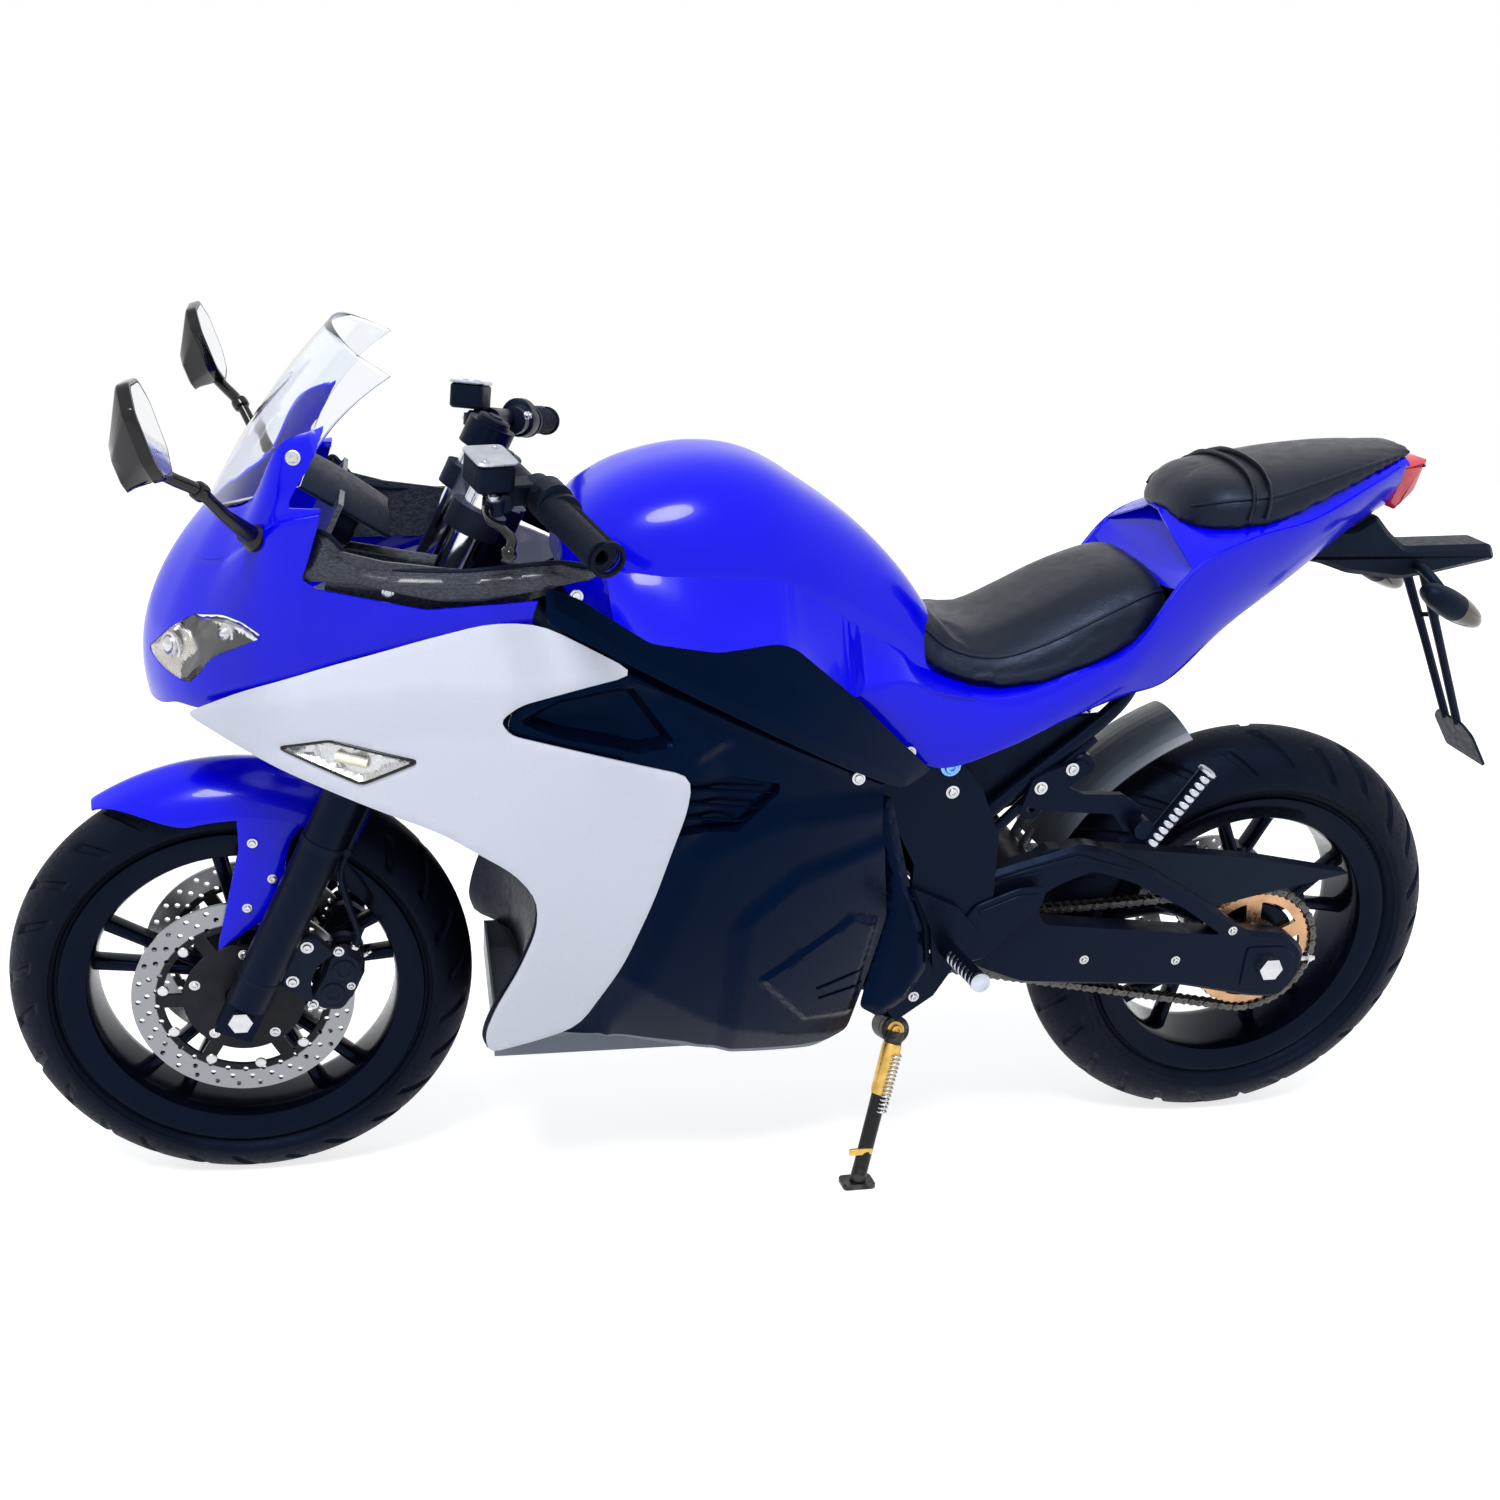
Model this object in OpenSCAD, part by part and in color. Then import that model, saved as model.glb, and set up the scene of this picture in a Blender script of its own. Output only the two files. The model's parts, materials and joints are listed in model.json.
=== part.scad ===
// Electric sport motorcycle with full fairing, parked on its side stand.
// Built upright with +X forward, +Y to its left and +Z up, then leaned onto the stand.

/* [Stance] */
// Lean to the left when parked, degrees
lean = 10.5; // [7:0.5:13]
// Distance between the two axles
wheelbase = 1410; // [1300:5:1500]
// Front axle ahead of the middle of the body
axle_ahead = 705; // [650:5:750]
// Place of the origin along the bike, behind the middle of the body
origin_back = 28; // [-100:1:200]
// Place of the origin to the left of the tyre line
origin_left = 175; // [0:1:300]

/* [Wheels] */
// Front tyre outer radius
front_tyre_r = 292; // [270:1:310]
// Front tyre width
front_tyre_w = 110; // [90:1:130]
// Rear tyre outer radius
rear_tyre_r = 314; // [290:1:330]
// Rear tyre width
rear_tyre_w = 140; // [120:1:170]
// Radius of the bead seat, 17 inch rim
bead_r = 216; // [200:1:230]
// Rim width over the beads, front
front_rim_w = 82; // [70:1:100]
// Rim width over the beads, rear
rear_rim_w = 108; // [90:1:130]
// Spoke pairs of each wheel
spoke_count = 5; // [3:1:8]
// Width of one spoke
spoke_w = 17; // [12:1:26]
// Thickness of the spokes along the axle
spoke_t = 26; // [16:1:40]

/* [Brakes and chain] */
// Front disc radius
front_disc_r = 138; // [120:1:150]
// Distance of each front disc from the middle plane
front_disc_y = 58; // [50:1:64]
// Rear disc radius
rear_disc_r = 110; // [95:1:125]
// Disc thickness
disc_t = 5; // [4:0.5:7]
// Drill holes in one row of a front disc
disc_holes = 30; // [12:1:40]
// Chain line from the middle plane
chain_y = 86; // [80:1:95]
// Chain pitch
chain_pitch = 12.7; // [12.7:0.1:15.9]
// Teeth of the rear sprocket
rear_teeth = 48; // [36:1:54]
// Teeth of the motor sprocket
motor_teeth = 14; // [12:1:17]
// Height of the chain side plates
chain_h = 11; // [9:0.5:14]
// Width over the chain
chain_w = 15; // [12:1:18]

/* [Fork and bars] */
// Steering head angle from upright, degrees
rake = 24; // [20:0.5:28]
// Distance of the fork legs in front of the steering axis
fork_offset = 32; // [20:1:45]
// Distance of each fork leg from the middle plane
fork_y = 100; // [90:1:110]
// Radius of the fork sliders
slider_r = 27; // [23:0.5:31]
// Radius of the fork tubes
tube_r = 20.5; // [17:0.5:23]
// Length of the sliders above the axle
slider_len = 395; // [330:5:430]
// Length of the fork tubes' tops above the axle
fork_len = 792; // [760:2:800]
// Axle radius
axle_r = 10; // [8:0.5:13]
// Handlebar tube radius
bar_r = 11; // [10:0.5:13]
// Grip radius
grip_r = 17; // [15:0.5:20]
// Grip length
grip_len = 118; // [100:2:135]
// Half width over the bar ends
bar_half = 362; // [340:2:380]

/* [Body] */
// Half width of the side fairings
fairing_half = 250; // [230:2:270]
// Thickness of the body panels
skin_t = 3.2; // [2.5:0.1:5]
// Half width of the battery pack
battery_half = 116; // [90:1:125]
// Tank cover half width
tank_half = 172; // [150:1:185]
// Rider seat half width
seat_half = 132; // [110:1:150]
// Clear gap where bolted pieces seat on each other
seat_gap = 0.3; // [0.1:0.1:0.6]
// Gap at the nose and tail mounts
mount_gap = 0.2; // [0.1:0.1:0.3]

/* [Side stand] */
// Stand pivot, along the bike from the middle of the body
stand_x = -155; // [-200:1:-100]
// Stand pivot, from the middle plane
stand_y = 128; // [110:1:140]
// Stand pivot height
stand_z = 238; // [220:1:260]
// Stand leg radius
stand_r = 11; // [9:0.5:15]

/* [Mounts] */
// Radius of the hole in each bar end
bar_bore_r = 7; // [5:0.5:8]
// Depth of the hole in each bar end
bar_bore_len = 38; // [20:1:60]
// Depth of the bar end inside the grip's end
bar_recess = 2; // [1:0.5:5]
// Distance between the two holes for the number plate
plate_hole_span = 70; // [60:5:80]
// Radius of the number plate holes
plate_hole_r = 3.2; // [2.5:0.1:4]

/* [Hidden] */
$fn = 48;
wall_h = 7;
front_crown = min(front_tyre_w / 2, front_tyre_r - bead_r - wall_h);
rear_crown = min(rear_tyre_w / 2, rear_tyre_r - bead_r - wall_h);
front_x = axle_ahead;
rear_x = axle_ahead - wheelbase;
front_z = front_tyre_r + front_crown * (1 / cos(lean) - 1);
rear_z = rear_tyre_r + rear_crown * (1 / cos(lean) - 1);
rear_pitch_r = chain_pitch / (2 * sin(180 / rear_teeth));
motor_pitch_r = chain_pitch / (2 * sin(180 / motor_teeth));
pivot_x = -225;
pivot_z = 420;
motor_x = -150;
motor_z = 352;
stand_tilt = 21.8;
rail_z = 305;
rail_r = 13;
lower_in = 9;
plate_y = 136;
plate_t = 12;
arm_in = 103;
arm_out = plate_y - seat_gap;
hub_half = front_disc_y - disc_t / 2 - seat_gap;
foot_y = 205;
foot_z = foot_y * tan(lean);
foot_x = -102;

// Names of the sub-parts, in drawing order

// Numbers and curves

function lerp(a, b, t) = a + (b - a) * t;

function on_side(p, s) = [p[0], s * p[1], p[2]];

function arc_pts(cx, cy, r, a0, a1, n) =
    [for (i = [0 : n]) let (a = lerp(a0, a1, i / n)) [cx + r * cos(a), cy + r * sin(a)]];

// Row of a table at the running number s, eased through its neighbours
function crow(t, s) =
    let (i = min(floor(s), len(t) - 2), u = s - i,
         a = t[max(i - 1, 0)], b = t[i], c = t[i + 1], d = t[min(i + 2, len(t) - 1)])
    0.5 * (2 * b + (c - a) * u + (2 * a - 5 * b + 4 * c - d) * u * u
        + (3 * b - a - 3 * c + d) * u * u * u);

function stations(t, n) = [for (k = [0 : n]) crow(t, k / n * (len(t) - 1))];

// Point on the curve through low, mid and top
function rib(b, m, t, v) =
    b * (2 * (v - 0.5) * (v - 1)) + m * (4 * v * (1 - v)) + t * (2 * v * (v - 0.5));

// Domed section over a flat base: row holds x, half width, low z, top z, power
function dome(row, n) =
    [for (k = [0 : n]) let (a = 180 * k / n, c = cos(a), s = sin(a))
        [row[0], row[1] * sign(c) * pow(abs(c), 2 / row[4]),
         row[2] + (row[3] - row[2]) * pow(abs(s), 2 / row[4])]];

// Point on the line from the swingarm pivot to the rear axle, raised by dz
function arm(f, dz) = [lerp(pivot_x, rear_x, f), lerp(pivot_z, rear_z, f) + dz];

// Point in the frame of the fork, seen in the frame of the bike
function fork_pt(x, y, z) =
    [front_x + x * cos(rake) - z * sin(rake), y, front_z + x * sin(rake) + z * cos(rake)];

// Half width of the side fairing at a place on its side view
function wing_x(x) =
    fairing_half - 120 * pow(max(0, (x - 220) / 530), 3) - 105 * pow(max(0, (220 - x) / 400), 2);

function wing_z(z) =
    55 * pow(max(0, (700 - z) / 420), 2) + 30 * pow(max(0, (z - 700) / 180), 2);

function wing(x, z) = wing_x(x) - wing_z(z);

// Solids from curves

// Rings run front to rear, each from its left foot over the top to its right foot
module loft(rings) {
    n = len(rings[0]);
    m = len(rings);
    polyhedron(
        points = [for (r = rings) each r],
        faces = concat(
            [for (i = [0 : m - 2], k = [0 : n - 1], h = [0, 1])
                let (a = i * n + k, b = i * n + (k + 1) % n)
                h == 0 ? [a, b, b + n] : [a, b + n, a + n]],
            [[for (k = [n - 1 : -1 : 0]) k]],
            [[for (k = [0 : n - 1]) (m - 1) * n + k]]));
}

// Skin with an outer and an inner grid, rows front to rear and points low to high
module skin(o, q) {
    m = len(o);
    n = len(o[0]);
    s = m * n;
    polyhedron(
        points = concat([for (r = o) each r], [for (r = q) each r]),
        faces = concat(
            [for (i = [0 : m - 2], j = [0 : n - 2], h = [0 : 3])
                let (a = i * n + j, d = a + 1, b = a + n, c = b + 1)
                h == 0 ? [a, d, c] : h == 1 ? [a, c, b] :
                h == 2 ? [s + a, s + c, s + d] : [s + a, s + b, s + c]],
            [for (j = [0 : n - 2], h = [0 : 3]) let (e = (m - 1) * n + j)
                h == 0 ? [j, s + j, s + j + 1] : h == 1 ? [j, s + j + 1, j + 1] :
                h == 2 ? [e, e + 1, s + e + 1] : [e, s + e + 1, s + e]],
            [for (i = [0 : m - 2], h = [0 : 3]) let (a = i * n, b = a + n, e = a + n - 1, f = b + n - 1)
                h == 0 ? [a, b, s + b] : h == 1 ? [a, s + b, s + a] :
                h == 2 ? [e, s + e, s + f] : [e, s + f, f]]));
}

// Left and right copies
module pair() {
    children();
    mirror([0, 1, 0]) children();
}

// Round bar between two points
module rod(a, b, r) {
    d = b - a;
    h = norm(d);
    translate(a)
        rotate([0, acos(d[2] / h), atan2(d[1], d[0])])
            cylinder(r = r, h = h);
}

// Ball at a bend of a tube
module ball(p, r) {
    translate(p) sphere(r);
}

// Flat plate with its outline in the side view, from y0 to y1
module side_plate(pts, y0, y1) {
    translate([0, y1, 0]) rotate([90, 0, 0]) linear_extrude(y1 - y0) polygon(pts);
}

// Ring or disc about the wheel axis
module hoop(r0, r1, y0, y1) {
    translate([0, y1, 0]) rotate([90, 0, 0]) linear_extrude(y1 - y0) difference() {
        circle(r1);
        circle(r0);
    }
}

// Round boss across the bike
module boss(x, z, r, y0, y1) {
    translate([x, y1, z]) rotate([90, 0, 0]) cylinder(r = r, h = y1 - y0);
}

// Whole bike placed as it is parked
module parked() {
    translate([origin_back, -origin_left, 0]) rotate([-lean, 0, 0]) children();
}

// Frame of the fork, its z along the legs and its origin on the front axle
module at_fork() {
    translate([front_x, 0, front_z]) rotate([0, -rake, 0]) children();
}

module at_front() {
    translate([front_x, 0, front_z]) children();
}

module at_rear() {
    translate([rear_x, 0, rear_z]) children();
}

// Wheels

module tyre(r, w, crown, rim_w) {
    wall = 9;
    bead_h = rim_w / 2 - 8;
    tread = arc_pts(r - crown, 0, crown, -84, 84, 32);
    carcass = arc_pts(r - crown, 0, crown - wall, 78, -78, 18);
    rotate([90, 0, 0]) rotate_extrude($fn = 72) polygon(concat(
        tread, [[bead_r + 14, rim_w / 2 - 1], [bead_r + seat_gap, rim_w / 2 - 1]],
        [[bead_r + seat_gap, bead_h - 6], [bead_r + 14, bead_h - 4]],
        carcass,
        [[bead_r + 14, 4 - bead_h], [bead_r + seat_gap, 6 - bead_h]],
        [[bead_r + seat_gap, 1 - rim_w / 2], [bead_r + 14, 1 - rim_w / 2]]));
}

// Rim barrel with a flange each side
module barrel(rim_w) {
    h = rim_w / 2;
    rotate([90, 0, 0]) rotate_extrude($fn = 72) polygon([
        [bead_r - 22, -h], [bead_r + 10, -h - 6], [bead_r + 12, -h - 4], [bead_r + 12, -h],
        [bead_r, -h], [bead_r, -h + 18], [bead_r - 14, -h + 30], [bead_r - 14, h - 30],
        [bead_r, h - 18], [bead_r, h], [bead_r + 12, h], [bead_r + 12, h + 4],
        [bead_r + 10, h + 6], [bead_r - 22, h], [bead_r - 27, 0]]);
}

// Spokes: a stem from the hub that splits into two arms at split_r
module spokes(hub_r, split_r, half_angle) {
    rim_r = bead_r - 18;
    hw = spoke_w / 2;
    for (i = [0 : spoke_count - 1])
        rotate([0, -360 / spoke_count * i - 90, 0])
            translate([0, spoke_t / 2, 0]) rotate([90, 0, 0]) linear_extrude(spoke_t) union() {
                polygon([[hub_r - 10, -hw * 1.5], [split_r + 12, -hw * 1.1],
                    [split_r + 12, hw * 1.1], [hub_r - 10, hw * 1.5]]);
                for (s = [-1, 1]) polygon([
                    [split_r, s * hw * 1.2], [split_r - 4, -s * hw * 0.4],
                    [rim_r * cos(half_angle), s * (rim_r * sin(half_angle) - hw)],
                    [rim_r * cos(half_angle), s * (rim_r * sin(half_angle) + hw)]]);
            }
}

module front_rim() {
    color([0.03, 0.03, 0.035]) parked() at_front() difference() {
        union() {
            barrel(front_rim_w);
            spokes(46, 60, 9);
            hoop(axle_r + 0.6, 48, -hub_half, hub_half);
        }
        boss(0, 0, axle_r + 0.6, -hub_half - 5, hub_half + 5);
    }
}

module front_tyre() {
    color([0.05, 0.05, 0.05]) parked() at_front()
        tyre(front_tyre_r, front_tyre_w, front_crown, front_rim_w);
}

// Brake disc on a carrier with arms
module disc(r, bore, hole_rows, holes) {
    translate([0, disc_t / 2, 0]) rotate([90, 0, 0]) linear_extrude(disc_t) difference() {
        union() {
            difference() {
                circle(r, $fn = 96);
                circle(r - 38, $fn = 96);
            }
            difference() {
                circle(r - 62);
                circle(bore);
            }
            for (i = [0 : 5]) rotate(60 * i) translate([r - 70, -9]) square([40, 18]);
        }
        for (k = [0 : hole_rows - 1], i = [0 : holes - 1])
            rotate(360 / holes * (i + k / hole_rows)) translate([r - 8 - 11 * k, 0])
                circle(r = 3.4, $fn = 14);
    }
}

module front_discs() {
    color([0.55, 0.55, 0.56]) parked() at_front() pair()
        translate([0, front_disc_y, 0]) disc(front_disc_r, 24, 3, disc_holes);
}

module front_axle() {
    in_y = front_disc_y + disc_t / 2 + 0.6;
    color([0.75, 0.75, 0.76]) parked() at_front() union() {
        boss(0, 0, axle_r, -120, 120);
        pair() boss(0, 0, 17, in_y, 85 - seat_gap);
        pair() translate([0, 122, 0]) rotate([90, 0, 0]) cylinder(r = 15, h = 9, $fn = 6);
    }
}

module rear_rim() {
    color([0.03, 0.03, 0.035]) parked() at_rear() difference() {
        union() {
            barrel(rear_rim_w);
            spokes(54, 112, 13);
            hoop(axle_r + 0.6, 56, -62, 62);
            hoop(axle_r + 0.6, 72, 50, chain_y - 4 - seat_gap);
        }
        boss(0, 0, axle_r + 0.6, -100, 100);
    }
}

module rear_tyre() {
    color([0.05, 0.05, 0.05]) parked() at_rear()
        tyre(rear_tyre_r, rear_tyre_w, rear_crown, rear_rim_w);
}

module rear_sprocket() {
    tip_r = rear_pitch_r - 4.9;
    color([0.62, 0.42, 0.28]) parked() at_rear()
        translate([0, chain_y + 3.5, 0]) rotate([90, 0, 0]) linear_extrude(7) difference() {
            circle(tip_r, $fn = 96);
            circle(28);
            for (i = [0 : 5]) rotate(60 * i) translate([68, 0]) circle(10, $fn = 24);
            for (i = [0 : rear_teeth - 1])
                rotate(360 / rear_teeth * (i + 0.5)) translate([tip_r + 2.4, 0]) circle(4.3, $fn = 16);
        }
}

module rear_disc() {
    color([0.55, 0.55, 0.56]) parked() at_rear()
        translate([0, -62 - seat_gap - disc_t / 2, 0]) disc(rear_disc_r, 26, 2, 24);
}

module rear_axle() {
    color([0.75, 0.75, 0.76]) parked() at_rear() union() {
        boss(0, 0, axle_r, -148, 148);
        boss(0, 0, 17, chain_y + 4.2, arm_in - seat_gap);
        boss(0, 0, 17, -arm_in + seat_gap, -62 - disc_t - 1);
        pair() translate([0, 150, 0]) rotate([90, 0, 0]) cylinder(r = 18, h = 14, $fn = 6);
    }
}

// Drive and rear end

// Outline of a belt around both sprockets, e outside the pitch line
module chain_shape(e) {
    dx = motor_x - rear_x;
    dz = motor_z - rear_z;
    far = norm([dx, dz]);
    a = acos((rear_pitch_r - motor_pitch_r) / far);
    rotate(atan2(dz, dx)) polygon(concat(
        arc_pts(0, 0, rear_pitch_r + e, a, 360 - a, 36),
        arc_pts(far, 0, motor_pitch_r + e, -a, a, 14)));
}

module chain() {
    color([0.12, 0.12, 0.12]) parked() at_rear()
        translate([0, chain_y + chain_w / 2, 0]) rotate([90, 0, 0]) linear_extrude(chain_w)
            difference() {
                chain_shape(chain_h / 2);
                chain_shape(1.5 - chain_h / 2);
            }
}

arm_outline = [
    arm(-0.062, 25.4), arm(0.062, 69.6), arm(0.219, 98.9), arm(0.342, 108.8), arm(0.506, 93.1),
    arm(0.698, 65.1), arm(0.912, 33.6), arm(1.062, 53.4), arm(1.123, 32.7), arm(1.119, -10.7),
    arm(1.069, -50), arm(0.969, -56.5), arm(0.729, -56.6), arm(0.221, -94.9), arm(0.073, -82.4),
    arm(-0.052, -40.5)];
arm_window = [
    arm(0.24, 57.1), arm(0.348, 71.5), arm(0.479, 58.2), arm(0.698, 27.1), arm(0.781, 13.9),
    arm(0.698, -1.9), arm(0.25, -25.8)];
box_at = arm(0.17, 2.8);
box_h = 42;

module swingarm() {
    color([0.06, 0.06, 0.065]) parked() difference() {
        union() {
            pair() difference() {
                side_plate(arm_outline, arm_in, arm_out);
                side_plate(arm_window, arm_in - 1, arm_out + 1);
            }
            boss(pivot_x, pivot_z, 26, -arm_out, arm_out);
            translate([box_at[0] - 45, -arm_in - 1, box_at[1]]) cube([90, 2 * arm_in + 2, box_h]);
        }
        boss(rear_x, rear_z, axle_r + seat_gap, -160, 160);
        boss(pivot_x, pivot_z, 10, -160, 160);
    }
}

module rear_shock() {
    low = [box_at[0], 0, box_at[1] + box_h + 10.4];
    high = [-196, 0, 618 - 14 - 10.3];
    color([0.6, 0.1, 0.08]) parked() union() {
        rod(low, high, 9);
        for (k = [0 : 7]) rod(lerp(low, high, 0.2 + 0.08 * k), lerp(low, high, 0.24 + 0.08 * k), 30);
        rod(lerp(low, high, 0.12), lerp(low, high, 0.9), 20);
        boss(low[0], low[2], 10, -16, 16);
        boss(high[0], high[2], 10, -16, 16);
    }
}

guard_outline = [
    arm(0.219, 99.3), arm(0.342, 109.2), arm(0.506, 93.5), arm(0.7, 65.4), arm(0.781, 69.9),
    arm(0.919, 100.3), arm(1.215, 162.3), arm(0.892, 157.5), arm(0.571, 139.8), arm(0.423, 130.3),
    arm(0.25, 114.2)];

module chain_guard() {
    color([0.08, 0.08, 0.085]) parked()
        side_plate(guard_outline, arm_in + 4, arm_out - 8);
}

module hugger() {
    crest = rear_tyre_r + 66;
    bow = 110;
    start = 25;
    foot = [box_at[0] - 46, 0, box_at[1] + box_h + seat_gap];
    edge = [rear_x + (crest - 3) * cos(start + 2), 0, rear_z + (crest - 3) * sin(start + 2)];
    color([0.22, 0.23, 0.25]) parked() union() {
        at_rear() rotate([90, 0, 0]) rotate([0, 0, start]) rotate_extrude(angle = 41, $fn = 72) polygon(concat(
            arc_pts(crest - bow, 0, bow, -39, 39, 12),
            arc_pts(crest - bow, 0, bow - 3.5, 39, -39, 12)));
        translate(foot + [-20, -30, 0]) cube([40, 60, 10]);
        for (s = [-18, 18]) rod(foot + [0, s, 4], edge + [0, s, 0], 7);
    }
}

module rear_caliper() {
    color([0.05, 0.05, 0.055]) parked() difference() {
        at_rear() union() {
            translate([40, -98, 62]) cube([86, 56, 44]);
            translate([-10, -arm_in + seat_gap + 0.2, -22]) cube([100, 7, 100]);
        }
        at_rear() boss(0, 0, 18, -150, 0);
        at_rear() hoop(0, rear_disc_r + 3, -62 - disc_t - 3, -62 + 3);
    }
}

pivot_plate = [[-70, 625], [-110, 650], [-190, 655], [-232, 605], [-262, 540], [-268, 430], [-240, 372],
    [-200, 300], [-150, 262], [-120, 300], [-152, 400], [-150, 500], [-100, 590]];

module frame() {
    head_low = fork_len - 240;
    head_len = 140;
    color([0.05, 0.05, 0.055]) parked() difference() {
        union() {
            at_fork() translate([-fork_offset, 0, head_low]) cylinder(r = 33, h = head_len);
            pair() {
                rod(fork_pt(-45, 19, fork_len - 158), [285, 146, 775], 17);
                rod([285, 146, 775], [-110, 142, 632], 17);
                ball([285, 146, 775], 18.5);
                rod(fork_pt(-44, 15, fork_len - 200), [290, 124, 560], rail_r);
                ball([290, 124, 560], rail_r + 1.5);
                rod([290, 124, 560], [255, 124, rail_z], rail_r);
                ball([255, 124, rail_z], rail_r + 1.5);
                rod([255, 124, rail_z], [-138, 107, rail_z], rail_r);
                side_plate(pivot_plate, plate_y, plate_y + plate_t);
                boss(-150, rail_z, 16, 101, plate_y + 2);
            }
            rod([-196, -137, 618], [-196, 137, 618], 14);
            rod([200, -120, rail_z], [200, 120, rail_z], rail_r - 1);
            rod([-50, -110, rail_z], [-50, 110, rail_z], rail_r - 1);
            rod([150, -144, 729], [150, 144, 729], 10);
            rod([-152, 113, rail_z], [stand_x, stand_y - 26, stand_z - 6], rail_r - 2);
            at_stand() boss(0, 0, 20, -34, -seat_gap);
        }
        at_fork() translate([-fork_offset, 0, head_low - 5]) cylinder(r = 26, h = head_len + 10);
    }
}

stay_outline = [[-222, 580], [-222, 655], [-300, 692], [-395, 706], [-398, 662], [-352, 600],
    [-284, 545], [-250, 556]];

module subframe() {
    in_y = plate_y - seat_gap;
    color([0.05, 0.05, 0.055]) parked() union() {
        pair() {
            rod([-176, in_y - 14, 644], [-480, 86, 790], 12);
            ball([-480, 86, 790], 13.5);
            rod([-480, 86, 790], [-740, 46, 975], 12);
            rod([-240, in_y - 12, 570], [-440, 90, 768], 10);
            ball([-176, in_y - 14, 644], 13.5);
            side_plate(stay_outline, in_y - 11, in_y);
        }
        rod([-300, -108, 698], [-300, 108, 698], 9);
        rod([-480, -86, 790], [-480, 86, 790], 9);
        rod([-600, -66, 875.4], [-600, 66, 875.4], 9);
        rod([-735, -46, 971], [-735, 46, 971], 9);
    }
}

// Frame of the stand, its y along the pivot
module at_stand() {
    translate([stand_x, stand_y, stand_z]) rotate([stand_tilt, 0, 0]) children();
}

module battery_pack() {
    color([0.1, 0.1, 0.11]) parked()
        translate([-70, -battery_half, rail_z + rail_r + seat_gap]) cube([305, 2 * battery_half, 388]);
}

module motor() {
    color([0.2, 0.2, 0.21]) parked() union() {
        boss(motor_x, motor_z, 70, -90, chain_y - 14);
        boss(motor_x, motor_z, 30, -plate_y + seat_gap, -89);
        boss(motor_x, motor_z, 12, chain_y - 15, chain_y + 4);
        boss(motor_x, motor_z, motor_pitch_r - 6, chain_y - 3.5, chain_y + 3.5);
    }
}

// Body

// Tank rows: x, half width, low z, top z, power
tank_rows = [
    [312, 96, 858, 930, 2.6], [285, 134, 835, 962, 2.7], [230, 160, 812, 993, 2.7],
    [150, tank_half, 800, 1012, 2.7], [75, 166, 792, 1005, 2.7], [0, 148, 765, 967, 2.7],
    [-70, 126, 722, 920, 2.7], [-130, 110, 690, 864, 2.8], [-176, 98, 690, 806, 2.8]];

module tank_cover() {
    color([0.02, 0.0, 0.9]) parked() difference() {
        union() {
            loft([for (row = stations(tank_rows, 24)) dome(row, 20)]);
            for (s = [-1, 1]) translate([150, 60 * s, 739 + seat_gap]) cylinder(r = 12, h = 70);
        }
        pair() rod([285, 146, 775], [-110, 142, 632], 19);
    }
}

// Nose ribs on the left half, from the middle: low, mid and top points
nose_ribs = [
    [[800, 0, 702], [792, 0, 815], [722, 0, 930]],
    [[779, 66, 706], [770, 70, 806], [698, 80, 943]],
    [[738, 125, 732], [724, 130, 815], [660, 132, 966]],
    [[678, 170, 764], [660, 180, 858], [614, 169, 1002]],
    [[622, 194, 788], [612, 204, 890], [580, 178, 1040]],
    [[585, 203, 802], [592, 206, 842], [592, 199, 888]],
    [[480, 222, 842], [478, 222, 855], [474, 219, 869]],
    [[358, 224, 866], [356, 223, 873], [352, 219, 880]]];

function nose_row(k) = let (n = len(nose_ribs) - 1, t = nose_ribs[abs(k - n)], s = k < n ? -1 : 1)
    [for (p = t) [p[0], s * p[1], p[2]]];

function band_rows(rows, n) =
    [for (k = [0 : n]) let (r = crow(rows, k / n * (len(rows) - 1))) r];

// Grid of a band around the nose, moved inward by d
function band(rows, n, m, d) =
    [for (r = band_rows(rows, n)) [for (j = [0 : m]) let (p = rib(r[0], r[1], r[2], j / m))
        p - d * [p[0] - 420, p[1] * 1.6, (p[2] - 820) * 0.4]
            / norm([p[0] - 420, p[1] * 1.6, (p[2] - 820) * 0.4])]];

nose_rows = [for (k = [0 : 2 * len(nose_ribs) - 2]) nose_row(k)];
lamp_outline = [[779, 790], [728, 827], [658, 810], [686, 780], [738, 749], [764, 760]];

module nose_fairing() {
    color([0.02, 0.0, 0.9]) parked() difference() {
        union() {
            skin(band(nose_rows, 42, 8, 0), band(nose_rows, 42, 8, skin_t));
            pair() boss(476, 853, 6, trim_y + mount_gap, 220.5);
            pair() boss(575, 845, 6, trim_y + mount_gap, 206);
            pair() rod(mirror_foot - mirror_dir * 44, mirror_foot, 11);
            pair() boss(602, 1010, 6, 161, 173);
        }
        pair() side_plate(lamp_outline, 60, 260);
    }
}

module headlights() {
    color([0.75, 0.73, 0.68]) parked() pair() intersection() {
        skin(band(nose_rows, 42, 8, 2), band(nose_rows, 42, 8, 22));
        side_plate([for (p = lamp_outline) lerp(p, [715, 786], 0.008)], 60, 260);
    }
}

screen_ribs = [
    [[722, 0, 930.5], [655, 0, 1046], [575, 0, 1146]],
    [[698, 80, 943.5], [640, 82, 1050], [565, 88, 1142]],
    [[660, 130, 966.5], [610, 136, 1050], [545, 142, 1130]],
    [[606, 158, 988], [570, 166, 1056], [509, 172, 1112]]];

function screen_row(k) = let (n = len(screen_ribs) - 1, t = screen_ribs[abs(k - n)], s = k < n ? -1 : 1)
    [for (p = t) [p[0], s * p[1], p[2]]];

screen_rows = [for (k = [0 : 2 * len(screen_ribs) - 2]) screen_row(k)];

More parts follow.
